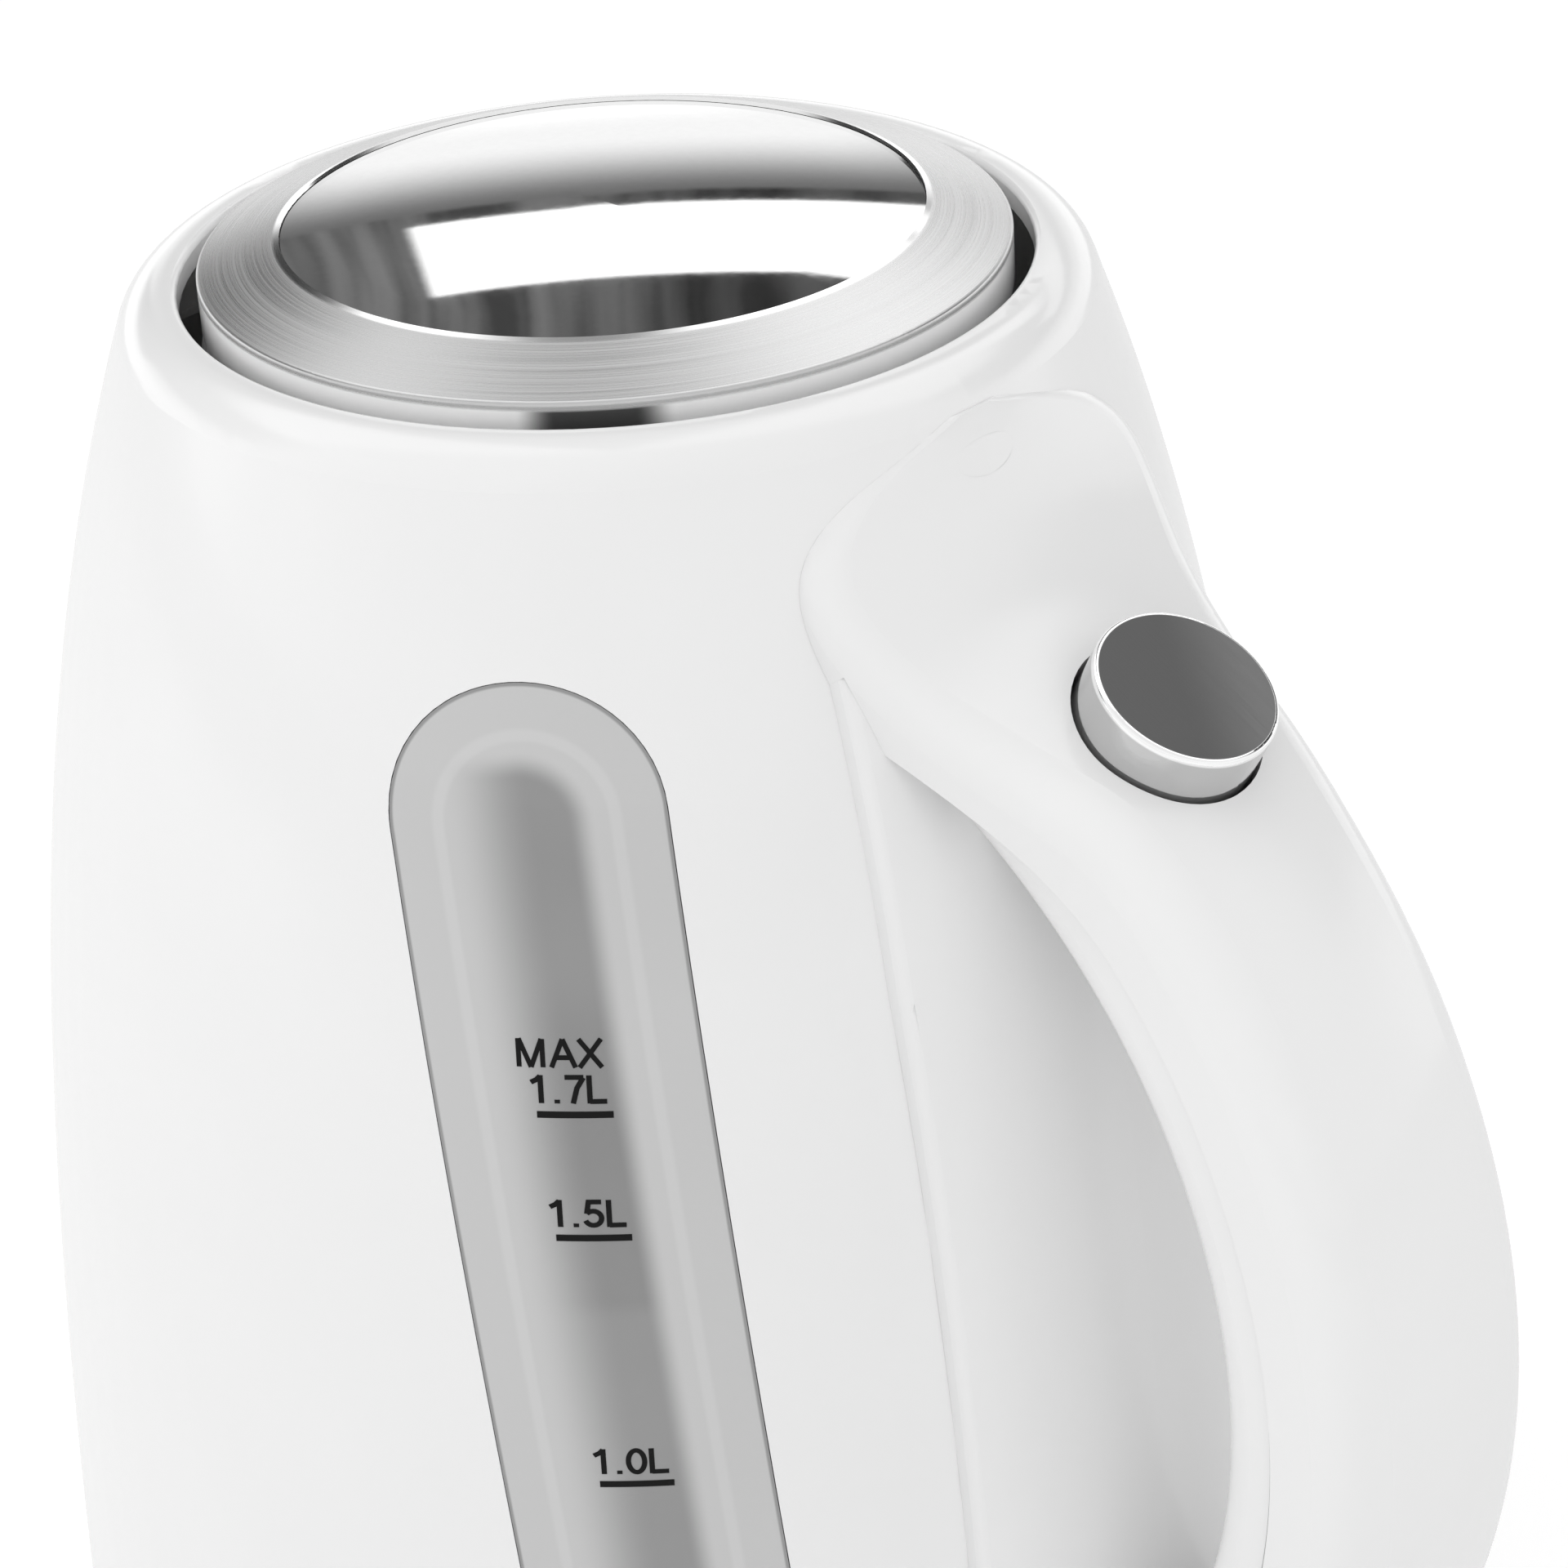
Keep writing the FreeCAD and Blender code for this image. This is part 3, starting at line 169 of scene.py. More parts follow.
class KettleFinishes(bpy.types.PropertyGroup):
    """Colours of the kettle's materials."""

    white: bpy.props.FloatVectorProperty(
        name="White moulding", description="Jug, handle and base",
        default=(0.88, 0.88, 0.88), subtype="COLOR")
    grey: bpy.props.FloatVectorProperty(
        name="Grey moulding", description="Inner mouldings",
        default=(0.5, 0.5, 0.5), subtype="COLOR")
    window: bpy.props.FloatVectorProperty(
        name="Window", description="Grey border of the window",
        default=(0.56, 0.56, 0.56), subtype="COLOR")
    # The window core's dark tone is painted shade that stands in for the depth behind the window
    window_core: bpy.props.FloatVectorProperty(
        name="Window core", description="Deep middle of the window",
        default=(0.268, 0.268, 0.268), subtype="COLOR")
    steel: bpy.props.FloatVectorProperty(
        name="Steel", description="Lid ring and heater plate",
        default=(0.66, 0.66, 0.66), subtype="COLOR")
    dark_steel: bpy.props.FloatVectorProperty(
        name="Dark steel", description="Top of the release button",
        default=(0.105, 0.105, 0.105), subtype="COLOR")
    seam: bpy.props.FloatVectorProperty(
        name="Seam", description="Shadow in the handle's seam",
        default=(0.4, 0.4, 0.4), subtype="COLOR")
    ink: bpy.props.FloatVectorProperty(
        name="Ink", description="Level marks",
        default=(0.008, 0.008, 0.008), subtype="COLOR")


class KettleStudio(bpy.types.PropertyGroup):
    """Camera and light of the studio."""

    lens: bpy.props.FloatProperty(
        name="Lens", description="Focal length in millimetres",
        default=97.5, unit="CAMERA")
    fill: bpy.props.FloatProperty(
        name="Fill light", description="Level of the light from all round",
        default=0.76, min=0.0, max=1.0, subtype="FACTOR")
    key: bpy.props.FloatProperty(
        name="Key light", description="Power of the large lamp",
        default=2.8, unit="POWER")


# Helpers for shader trees
RISE = (0.0, 1.0)
FALL = (1.0, 0.0)

# Sockets of the Mix node that carry the share and the colours
MIX_SHARE = 0
MIX_FIRST = 6
MIX_SECOND = 7
MIX_RESULT = 2


def new_material(name):
    """New material with its node tree and its shader."""
    material = bpy.data.materials.new(name)
    material.use_nodes = True
    tree = material.node_tree
    return material, tree, tree.nodes["Principled BSDF"]


def link(tree, value, socket):
    """Lead one socket into another."""
    tree.links.new(value, socket)


def feed(tree, socket, value):
    """Link an input to a socket, or set the input's own value."""
    if isinstance(value, bpy.types.NodeSocket):
        link(tree, value, socket)
    else:
        socket.default_value = value


def fed_by(shader, name):
    """Socket that feeds an input of a shader."""
    return shader.inputs[name].links[0].from_socket


def add(tree, kind, **settings):
    """New node with its settings, and with inputs given by number or name under inputs."""
    node = tree.nodes.new(kind)
    inputs = settings.pop("inputs", {})
    for key, value in settings.items():
        setattr(node, key, value)
    for key, value in inputs.items():
        feed(tree, node.inputs[key], value)
    return node


def math_node(tree, operation, first, second=0.0, third=0.0):
    """Level worked out from others."""
    inputs = {0: first, 1: second, 2: third}
    return add(tree, "ShaderNodeMath", operation=operation, inputs=inputs).outputs[0]


def product(tree, first, *others):
    """Levels multiplied together."""
    for other in others:
        first = math_node(tree, "MULTIPLY", first, other)
    return first


def blend(tree, share, first, second):
    """Level that goes from the first to the second with the share."""
    return math_node(tree, "MULTIPLY_ADD", share, math_node(tree, "SUBTRACT", second, first), first)


def vector_node(tree, operation, first, second=(0, 0, 0)):
    """Node that works on one or two vectors."""
    return add(tree, "ShaderNodeVectorMath", operation=operation, inputs={0: first, 1: second})


def along(tree, vector, direction):
    """Distance along a direction."""
    return vector_node(tree, "DOT_PRODUCT", vector, direction).outputs["Value"]


def level_part(tree, place):
    """Vector from the jug's axis, level."""
    return vector_node(tree, "MULTIPLY", place, (1, 1, 0)).outputs[0]


def length_of(tree, vector):
    """Length of a vector."""
    return vector_node(tree, "LENGTH", vector).outputs["Value"]


def ramp_between(tree, value, edge, levels=RISE):
    """Smooth step from one level to another over an edge."""
    inputs = {0: value, 1: edge[0], 2: edge[1], 3: levels[0], 4: levels[1]}
    return add(tree, "ShaderNodeMapRange", interpolation_type="SMOOTHSTEP", inputs=inputs).outputs[0]


def noise(tree, place, scale, detail, roughness=0.5):
    """Level of a cloudy pattern."""
    inputs = {"Vector": place, "Scale": scale, "Detail": detail, "Roughness": roughness}
    return add(tree, "ShaderNodeTexNoise", inputs=inputs).outputs[0]


def object_place(tree):
    """Place on the piece, in the shared frame."""
    return add(tree, "ShaderNodeTexCoord").outputs["Object"]


def scaled(colour, factor):
    """Colour made lighter or darker."""
    return [channel * factor for channel in colour]


def colour_mix(tree, share, first, second):
    """Mix of two colours, each a socket or three channels."""
    node = add(tree, "ShaderNodeMix", data_type="RGBA", inputs={MIX_SHARE: share})
    for key, colour in ((MIX_FIRST, first), (MIX_SECOND, second)):
        is_socket = isinstance(colour, bpy.types.NodeSocket)
        feed(tree, node.inputs[key], colour if is_socket else (*colour, 1))
    return node.outputs[MIX_RESULT]


def emboss(tree, shader, height, strength, depth):
    """Fine relief on a finish."""
    inputs = {"Strength": strength, "Distance": depth, "Height": height}
    bump = add(tree, "ShaderNodeBump", inputs=inputs)
    link(tree, bump.outputs[0], shader.inputs["Normal"])


# Plastic
FLOW_SCALE = 55.0
FLOW_RANGE = (0.3, 0.7)
FLOW_GLOSS = 0.1
GRAIN_RELIEF = 0.12
COAT_ROUGHNESS = 0.05
BLACK = (0.03, 0.03, 0.03)
RUBBER = (0.09, 0.09, 0.09)


def moulded(name, colour, roughness, grain, grain_depth, mottle=0.012, coat=0.0):
    """Moulded plastic: faint flow mottle, fine grain and uneven gloss."""
    material, tree, shader = new_material(name)
    place = object_place(tree)
    flow = noise(tree, place, FLOW_SCALE, detail=3.0)
    link(tree, colour_mix(tree, flow, colour, scaled(colour, 1 - mottle * 2)), shader.inputs["Base Color"])
    levels = (roughness * (1 - FLOW_GLOSS), roughness * (1 + FLOW_GLOSS))
    gloss = ramp_between(tree, flow, FLOW_RANGE, levels)
    link(tree, gloss, shader.inputs["Roughness"])
    emboss(tree, shader, noise(tree, place, grain, detail=2.0), GRAIN_RELIEF, grain_depth)
    shader.inputs["Coat Weight"].default_value = coat
    shader.inputs["Coat Roughness"].default_value = COAT_ROUGHNESS
    return material


# Metal
LINES_ACROSS = 5200.0
LINES_ALONG = 150.0
LINES_ROUND = 1.6
CAST_GRAIN = 900.0
LINE_RANGE = (0.25, 0.75)
LINE_GLOSS = 0.15
LINE_DEPTH = 0.00004
POLISH = 0.12
MIRROR = (0.93, 0.93, 0.93)
ALUMINIUM = (0.7, 0.7, 0.71)
BRASS = (0.72, 0.52, 0.22)
WIRE = (0.6, 0.6, 0.6)


def round_lines(tree, place):
    """Place that is stretched to lines round the jug's axis."""
    sector = vector_node(tree, "NORMALIZE", place).outputs[0]
    return add(tree, "ShaderNodeCombineXYZ", inputs={
        0: product(tree, length_of(tree, level_part(tree, place)), LINES_ACROSS),
        1: along(tree, sector, (LINES_ROUND, 0, 0)),
        2: along(tree, sector, (0, LINES_ROUND, 0)),
    }).outputs[0]


def metal(name, colour, roughness, brushing=None, streak=0.12, anisotropy=0.0, relief=0.05):
    """Metal with fine lines: ROUND brushing goes about the jug's axis, ALONG goes straight."""
    material, tree, shader = new_material(name)
    place = object_place(tree)
    shader.inputs["Metallic"].default_value = 1.0
    shader.inputs["Anisotropic"].default_value = anisotropy
    if brushing == "ROUND":
        grain_place = round_lines(tree, place)
        tangent = add(tree, "ShaderNodeTangent", direction_type="RADIAL", axis="Z")
        link(tree, tangent.outputs[0], shader.inputs["Tangent"])
    else:
        straight = (LINES_ALONG, LINES_ACROSS, LINES_ALONG)
        stretch = straight if brushing == "ALONG" else (CAST_GRAIN,) * 3
        grain_place = vector_node(tree, "MULTIPLY", place, stretch).outputs[0]
    lines = noise(tree, grain_place, 1.0, detail=4.0, roughness=0.65)
    shade = ramp_between(tree, lines, LINE_RANGE)
    link(tree, colour_mix(tree, shade, scaled(colour, 1 - streak), colour), shader.inputs["Base Color"])
    levels = (roughness * (1 - LINE_GLOSS), roughness * (1 + LINE_GLOSS))
    gloss = ramp_between(tree, lines, LINE_RANGE, levels)
    link(tree, gloss, shader.inputs["Roughness"])
    emboss(tree, shader, lines, relief, LINE_DEPTH)
    return material


# Lid ring: a bead round the disc, a brushed cone and a skirt below the brow. The bead and the skirt carry a
# painted highlight, and the skirt also has a painted dark reflection at one azimuth
BEAD_EDGE = (0.0364, 0.0368)
BROW_EDGE = (RIM + 0.0009, RIM + 0.0014)
SKIRT_EDGE = (0.0450, 0.0452)
# The skirt is nearly not metal, so its painted highlight tone shows as bright reflected light
SKIRT_METALNESS = 0.05
PAINTED_HIGHLIGHT_TONE = (0.97, 0.97, 0.97)
# Painted dark reflection: a dark patch on the skirt at a fixed azimuth
PAINTED_REFLECTION_AZIMUTH = -45
PAINTED_REFLECTION_EDGE = (0.983, 0.996)
PAINTED_REFLECTION_TONE = (0.06, 0.06, 0.06)


def brushed_ring(finishes):
    """Steel of the lid's ring, with a painted highlight on the bead and the skirt and a painted dark
    reflection on the side of the skirt.
    """
    material = metal("brushed_ring", finishes.steel, roughness=0.28, brushing="ROUND",
                     streak=0.16, anisotropy=0.7)
    tree = material.node_tree
    shader = tree.nodes["Principled BSDF"]
    place = object_place(tree)
    from_axis = level_part(tree, place)
    radius = length_of(tree, from_axis)
    bead = ramp_between(tree, radius, BEAD_EDGE, FALL)
    below_brow = ramp_between(tree, along(tree, place, UP), BROW_EDGE, FALL)
    skirt = product(tree, below_brow, ramp_between(tree, radius, SKIRT_EDGE))
    # Bead and skirt get a lower roughness and a painted highlight tone
    polished = math_node(tree, "MAXIMUM", bead, skirt)
    facing = vector_node(tree, "NORMALIZE", from_axis).outputs[0]
    painted_dark_reflection = ramp_between(tree, along(tree, facing, bearing(PAINTED_REFLECTION_AZIMUTH)), PAINTED_REFLECTION_EDGE)
    painted_highlight = colour_mix(tree, product(tree, painted_dark_reflection, skirt), PAINTED_HIGHLIGHT_TONE, PAINTED_REFLECTION_TONE)
    colour = colour_mix(tree, polished, fed_by(shader, "Base Color"), painted_highlight)
    gloss = blend(tree, polished, fed_by(shader, "Roughness"), POLISH)
    link(tree, colour, shader.inputs["Base Color"])
    link(tree, gloss, shader.inputs["Roughness"])
    link(tree, blend(tree, skirt, 1.0, SKIRT_METALNESS), shader.inputs["Metallic"])
    return material


# Button: its rim is polished, with a painted highlight on the bevel at the top, and a painted sheen makes
# its top lighter on one side
BUTTON_RIM_EDGE = (BUTTON_RADIUS - 0.0006, BUTTON_RADIUS - 0.00045)
BUTTON_BEVEL_EDGE = (0.0044, 0.0047)
BUTTON_WALL_TONE = (0.58, 0.58, 0.58)
SHEEN_WAY = (0.55, 0.83, 0)
SHEEN_EDGE = (0.0, 0.0105)
SHEEN_GAIN = 1.6


def button_steel(finishes):
    """Dark brushed steel with a polished wall and rim, a painted highlight on the bevel and a painted sheen
    on one side of the top.
    """
    material = metal("button_steel", finishes.dark_steel, roughness=0.34, brushing="ALONG", streak=0.1)
    tree = material.node_tree
    shader = tree.nodes["Principled BSDF"]
    offset = vector_node(tree, "SUBTRACT", object_place(tree), BUTTON_CENTRE).outputs[0]
    height = along(tree, offset, BUTTON_AXIS)
    radius = length_of(tree, vector_node(tree, "CROSS_PRODUCT", offset, BUTTON_AXIS).outputs[0])
    rim = ramp_between(tree, radius, BUTTON_RIM_EDGE)
    bevel = ramp_between(tree, height, BUTTON_BEVEL_EDGE)
    # Painted sheen: the top is lighter towards one side
    lighter = ramp_between(tree, along(tree, offset, SHEEN_WAY), SHEEN_EDGE)
    top = colour_mix(tree, lighter, fed_by(shader, "Base Color"), scaled(finishes.dark_steel, SHEEN_GAIN))
    # Painted highlight on the bevel at the top of the wall
    wall = colour_mix(tree, bevel, BUTTON_WALL_TONE, PAINTED_HIGHLIGHT_TONE)
    gloss = blend(tree, rim, fed_by(shader, "Roughness"), POLISH)
    link(tree, colour_mix(tree, rim, top, wall), shader.inputs["Base Color"])
    link(tree, gloss, shader.inputs["Roughness"])
    return material


# Window: distances from its slanting middle line, and heights of the shadow behind it
# The ridge's lighter band is a painted highlight
RIDGE_START = (0.0084, 0.0090)
RIDGE_END = (0.0096, 0.0103)
RIDGE_HIGHLIGHT_TINT = 1.07
# Painted shade darkens the window's edge
BORDER_EDGE = (0.0141, 0.0144)
BORDER_SHADE_TINT = 0.5
SHADOW_LOW = (RIM - 0.0925, RIM - 0.0895)
SHADOW_HIGH = (RIM - 0.064, RIM - 0.050)
SHADOW_TINT = 0.86
# Edges of the darker middle, painted shade that stands in for the depth behind the window
CORE_SHIFT = 0.0005
CORE_RIGHT = (0.0048, 0.0078)
CORE_LEFT = (-0.0085, 0.0010)
HAZE_SCALE = 40.0
HAZE_RANGE = (0.3, 0.7)
HAZE_SHARE = (0.0, 0.05)
HAZE_TONE = (0.7, 0.7, 0.7)


def window_grey(finishes):
    """Grey window with a ridge round its deeper, darker middle: the ridge is a painted highlight, the
    darker middle and a band across it are painted shade, and the edge has painted shade.
    """
    material, tree, shader = new_material("window_grey")
    place = object_place(tree)
    height = along(tree, place, UP)
    line = WINDOW_TOP - WINDOW_FOOT
    upwards = line.normalized()
    from_top = vector_node(tree, "SUBTRACT", place, WINDOW_TOP).outputs[0]
    across = along(tree, from_top, upwards.cross(OUTWARDS))
    rise = along(tree, from_top, upwards)
    past_top = math_node(tree, "MAXIMUM", rise, 0.0)
    past_foot = math_node(tree, "MAXIMUM", math_node(tree, "SUBTRACT", -line.length, rise), 0.0)
    past = math_node(tree, "ADD", past_top, past_foot)

    def rounded(sideways):
        """Distance that goes round the window's ends."""
        squares = math_node(tree, "ADD", product(tree, sideways, sideways), product(tree, past, past))
        return math_node(tree, "SQRT", squares)

    from_line = rounded(across)
    # Painted highlight: a lighter band on the ridge
    ridge = product(tree, ramp_between(tree, from_line, RIDGE_START),
                    ramp_between(tree, from_line, RIDGE_END, FALL))
    flange = colour_mix(tree, ridge, finishes.window, scaled(finishes.window, RIDGE_HIGHLIGHT_TINT))
    # Painted shade along the window's edge
    border = ramp_between(tree, from_line, BORDER_EDGE)
    flange = colour_mix(tree, border, flange, scaled(finishes.window, BORDER_SHADE_TINT))
    # Painted shadow band across the middle, and painted shade for the darker middle's depth
    shadow = product(tree, ramp_between(tree, height, SHADOW_LOW),
                     ramp_between(tree, height, SHADOW_HIGH, FALL))
    deep = colour_mix(tree, shadow, finishes.window_core, scaled(finishes.window_core, SHADOW_TINT))
    past_right = math_node(tree, "MAXIMUM", math_node(tree, "ADD", across, CORE_SHIFT), 0.0)
    core = product(tree, ramp_between(tree, across, CORE_LEFT),
                   ramp_between(tree, rounded(past_right), CORE_RIGHT, FALL))
    tone = colour_mix(tree, core, flange, deep)
    haze = ramp_between(tree, noise(tree, place, HAZE_SCALE, detail=2.0), HAZE_RANGE, HAZE_SHARE)
    link(tree, colour_mix(tree, haze, tone, HAZE_TONE), shader.inputs["Base Color"])
    shader.inputs["Roughness"].default_value = 0.12
    shader.inputs["Coat Weight"].default_value = 0.4
    return material


# Pieces and meshes
WELD_DISTANCE = 1e-6


def finish_nodes(names, material):
    """Give CAD nodes a finish."""
    for name in names:
        mesh = NODES[name].data
        mesh.materials.clear()
        mesh.materials.append(material)


def link_object(name, mesh, material):
    """New object in the scene, with its finish."""
    mesh.materials.clear()
    mesh.materials.append(material)
    piece = bpy.data.objects.new(name, mesh)
    bpy.context.scene.collection.objects.link(piece)
    return piece


def weld(mesh):
    """Merge the points that faces share."""
    shape = bmesh.new()
    shape.from_mesh(mesh)
    bmesh.ops.remove_doubles(shape, verts=shape.verts, dist=WELD_DISTANCE)
    shape.to_mesh(mesh)
    shape.free()


def thicken(piece, thickness):
    """Close a flat piece, inwards from its face."""
    modifier = piece.modifiers.new("thickness", "SOLIDIFY")
    modifier.thickness = thickness
    modifier.offset = -1


def side_radius(z):
    """Outside radius of the jug at a height, found by halving along the side's curve."""
    lip_centre = Vector((LIP_CENTRE_RADIUS, RIM + LIP_CREST - LIP_ROUND))
    neck = lip_centre + Vector((math.cos(NECK_LEAN), math.sin(NECK_LEAN))) * LIP_ROUND
    foot = Vector((FOOT_RADIUS, FOOT_Z))
    shoulder = neck + Vector((math.sin(NECK_LEAN), -math.cos(NECK_LEAN))) * SHOULDER_PULL
    belly = foot + Vector((-math.sin(FOOT_LEAN), math.cos(FOOT_LEAN))) * BELLY_PULL
    low, high = 0.0, 1.0
    for _ in range(HALVINGS):
        share = (low + high) / 2
        rest = 1 - share
        spot = neck * rest ** 3 + shoulder * (3 * rest * rest * share)
        spot += belly * (3 * rest * share * share) + foot * share ** 3
        if spot.y > z:
            low = share
        else:
            high = share
    return spot.x


def on_window(across, z, lift):
    """Point on the jug over the window, seen square on from outside."""
    radius = side_radius(z) + lift
    return OUTWARDS * math.sqrt(radius ** 2 - across ** 2) + SIDEWAYS * across + UP * z


class KETTLE_OT_mouldings(bpy.types.Operator):
    """Finish the white, grey and black plastic pieces and the rubber"""

    bl_idname = "kettle.mouldings"
    bl_label = "Plastic mouldings"

    def execute(self, context):
        finishes = context.scene.kettle_finishes
        white = moulded("white_moulding", finishes.white, roughness=0.17, grain=2600.0,
                        grain_depth=0.00002, coat=0.25)
        grey = moulded("grey_moulding", finishes.grey, roughness=0.38, grain=3400.0, grain_depth=0.00006)
        black = moulded("black_moulding", BLACK, roughness=0.4, grain=3400.0, grain_depth=0.00006)
        rubber = moulded("rubber", RUBBER, roughness=0.6, grain=5200.0, grain_depth=0.00008)
        finish_nodes(WHITE_MOULDINGS, white)
        finish_nodes(GREY_MOULDINGS, grey)
        finish_nodes(BLACK_MOULDINGS, black)
        finish_nodes(RUBBER_PIECES, rubber)
        return {"FINISHED"}


class KETTLE_OT_metals(bpy.types.Operator):
    """Finish the inner metal pieces"""

    bl_idname = "kettle.metals"
    bl_label = "Inner metals"

    def execute(self, context):
        finishes = context.scene.kettle_finishes
        satin = metal("satin_steel", finishes.steel, roughness=0.3, brushing="ROUND", anisotropy=0.5)
        finish_nodes(BRIGHT_STEEL, metal("bright_steel", WIRE, roughness=0.22))
        finish_nodes(ALUMINIUM_PIECES, metal("bare_aluminium", ALUMINIUM, roughness=0.4))
        finish_nodes(BRASS_PIECES, metal("brass", BRASS, roughness=0.28))
        finish_nodes(SATIN_STEEL, satin)
        return {"FINISHED"}


class KETTLE_OT_lid(bpy.types.Operator):
    """Brush the lid's steel ring, with painted highlights and a painted dark reflection, and polish its
    centre
    """

    bl_idname = "kettle.lid"
    bl_label = "Lid steel"

    def execute(self, context):
        mirror = metal("mirror_steel", MIRROR, roughness=0.03, streak=0.03, relief=0.008)
        finish_nodes(("lid_ring",), brushed_ring(context.scene.kettle_finishes))
        finish_nodes(("lid_disc",), mirror)
        return {"FINISHED"}


class KETTLE_OT_button(bpy.types.Operator):
    """Finish the release button: brushed dark top with a painted sheen, polished wall and rim with a
    painted highlight on the bevel
    """

    bl_idname = "kettle.button"
    bl_label = "Release button"

    def execute(self, context):
        finish_nodes(("button_cap",), button_steel(context.scene.kettle_finishes))
        return {"FINISHED"}


class KETTLE_OT_button_spring(bpy.types.Operator):
    """Put a welded copy of the button's return spring on the jug in place of its part"""

    bl_idname = "kettle.button_spring"
    bl_label = "Button spring"

    def execute(self, context):
        mesh = NODES["button_spring"].data.copy()
        weld(mesh)
        piece = link_object("button_spring_coil", mesh, bpy.data.materials["bright_steel"])
        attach(piece, "jug")
        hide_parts("button_spring")
        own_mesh(piece)
        return {"FINISHED"}


class KETTLE_OT_handle_seam(bpy.types.Operator):
    """Line the seam between the handle's outer shell and its finger side with a strip of painted shadow"""

    bl_idname = "kettle.handle_seam"
    bl_label = "Handle seam"

    def execute(self, context):
        sizes = context.scene.kettle_sizes
        points, faces = [], []
        for side in (-1, 1):
            y = side * (GRIP_SIDE + sizes.print_thickness)
            first = len(points)
            for step in range(SEAM_STEPS + 1):
                angle = math.radians(SEAM_LOW + (SEAM_HIGH - SEAM_LOW) * step / SEAM_STEPS)
                for radius in (SEAM_RADIUS - sizes.seam_width, SEAM_RADIUS - SEAM_INSET):
                    x = HANDLE_X + radius * math.cos(angle)
                    z = HANDLE_Z + radius * math.sin(angle)
                    points.append((x, y, z))
            for corner in range(first, first + 2 * SEAM_STEPS, 2):
                face = (corner, corner + 1, corner + 3, corner + 2)
                faces.append(face if side < 0 else (face[0], *reversed(face[1:])))
        mesh = bpy.data.meshes.new("handle_seam")
        mesh.from_pydata(points, [], faces)
        tone = context.scene.kettle_finishes.seam
        shade = moulded("seam_shade", tone, roughness=0.5, grain=3000.0, grain_depth=0.00002)
        piece = link_object("handle_seam", mesh, shade)
        thicken(piece, sizes.print_thickness)
        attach(piece, "jug")
        return {"FINISHED"}


class KETTLE_OT_window(bpy.types.Operator):
    """Finish the grey level window: its deeper, darker middle is painted shade, with a painted highlight on
    its ridge and painted shade along its edge
    """

    bl_idname = "kettle.window"
    bl_label = "Level window"

    def execute(self, context):
        finish_nodes(("window_lens",), window_grey(context.scene.kettle_finishes))
        return {"FINISHED"}


# Level marks: left edge from the window's vertical, base line below the rim, and printed width
MARKS = (
    {"words": "MAX", "left": -0.00495, "drop": 0.0627, "width": 0.00923, "ticked": False},
    {"words": "1.7L", "left": -0.0037, "drop": 0.06675, "width": 0.0081, "ticked": True},
    {"words": "1.5L", "left": -0.0025, "drop": 0.08105, "width": 0.0082, "ticked": True},
    {"words": "1.0L", "left": 0.0004, "drop": 0.1114, "width": 0.0082, "ticked": True},
    {"words": "0.5L", "left": 0.0036, "drop": 0.1402, "width": 0.0082, "ticked": True},
)
TICK_SHIFT = 0.0006
TICK_DROP = 0.0013
TICK_STEPS = 12
INK_SHINE = 0.1

# Width of a stroke, longest quad and sharpest mitre, on a cap height of 1
STROKE = 0.17
STROKE_STEP = 0.15
MITRE_LIMIT = 0.5


def bow(x, y, wide, tall, first, last, steps=20):
    """Points round part of an ellipse, angles in degrees."""
    angles = [math.radians(first + (last - first) * step / steps) for step in range(steps + 1)]
    return [(x + wide * math.cos(angle), y + tall * math.sin(angle)) for angle in angles]


# Advance to the next figure and strokes of each figure, on a cap height of 1
FIGURES = {
    "M": (1.13, [
        [(0.07, 0), (0.07, 1)], [(0.09, 1), (0.48, 0)],
        [(0.48, 0), (0.87, 1)], [(0.89, 1), (0.89, 0)],
    ]),
    "A": (0.95, [[(0.05, 0), (0.46, 1)], [(0.46, 1), (0.87, 0)], [(0.2, 0.35), (0.72, 0.35)]]),
    "X": (0.93, [[(0.06, 0), (0.82, 1)], [(0.06, 1), (0.82, 0)]]),
    "1": (0.76, [[(0.42, 0), (0.42, 1)], [(0.42, 0.97), (0.3, 0.84), (0.12, 0.74)]]),
    "7": (0.74, [[(0.05, 0.935), (0.64, 0.935)], [(0.63, 0.92), (0.42, 0.55), (0.28, 0)]]),
    "5": (0.76, [
        [(0.6, 0.935), (0.2, 0.935), (0.13, 0.5)],
        [(0.13, 0.5)] + bow(0.33, 0.33, 0.26, 0.265, 130, -160),
    ]),
    "0": (0.76, [bow(0.34, 0.5, 0.26, 0.44, 0, 360, 36)]),
    ".": (0.38, [[(0.16, 0), (0.16, 0.13)]]),
    "L": (0.7, [[(0.07, 0), (0.07, 1)], [(0.07, 0.065), (0.6, 0.065)]]),
}


def fine_line(line):
    """The line's points with others between them, no further apart than a stroke's step."""
    fine = []
    for start, end in zip(line, line[1:]):
        start, end = Vector(start), Vector(end)
        pieces = max(1, math.ceil((end - start).length / STROKE_STEP))
        fine += [start + (end - start) * (step / pieces) for step in range(pieces)]
    return fine + [Vector(line[-1])]


def stroke_quads(line):
    """Mitred ribbon along a line, cut into short quads."""
    fine = fine_line(line)
    headings = [(end - start).normalized() for start, end in zip(fine, fine[1:])]
    rails = []
    for spot, before, after in zip(fine, headings[:1] + headings, headings + headings[-1:]):
        heading = (before + after).normalized()
        half = STROKE / 2 / max(MITRE_LIMIT, heading.dot(after))
        side = Vector((-heading.y, heading.x)) * half
        rails.append((spot + side, spot - side))
    return [(*start, *reversed(end)) for start, end in zip(rails, rails[1:])]


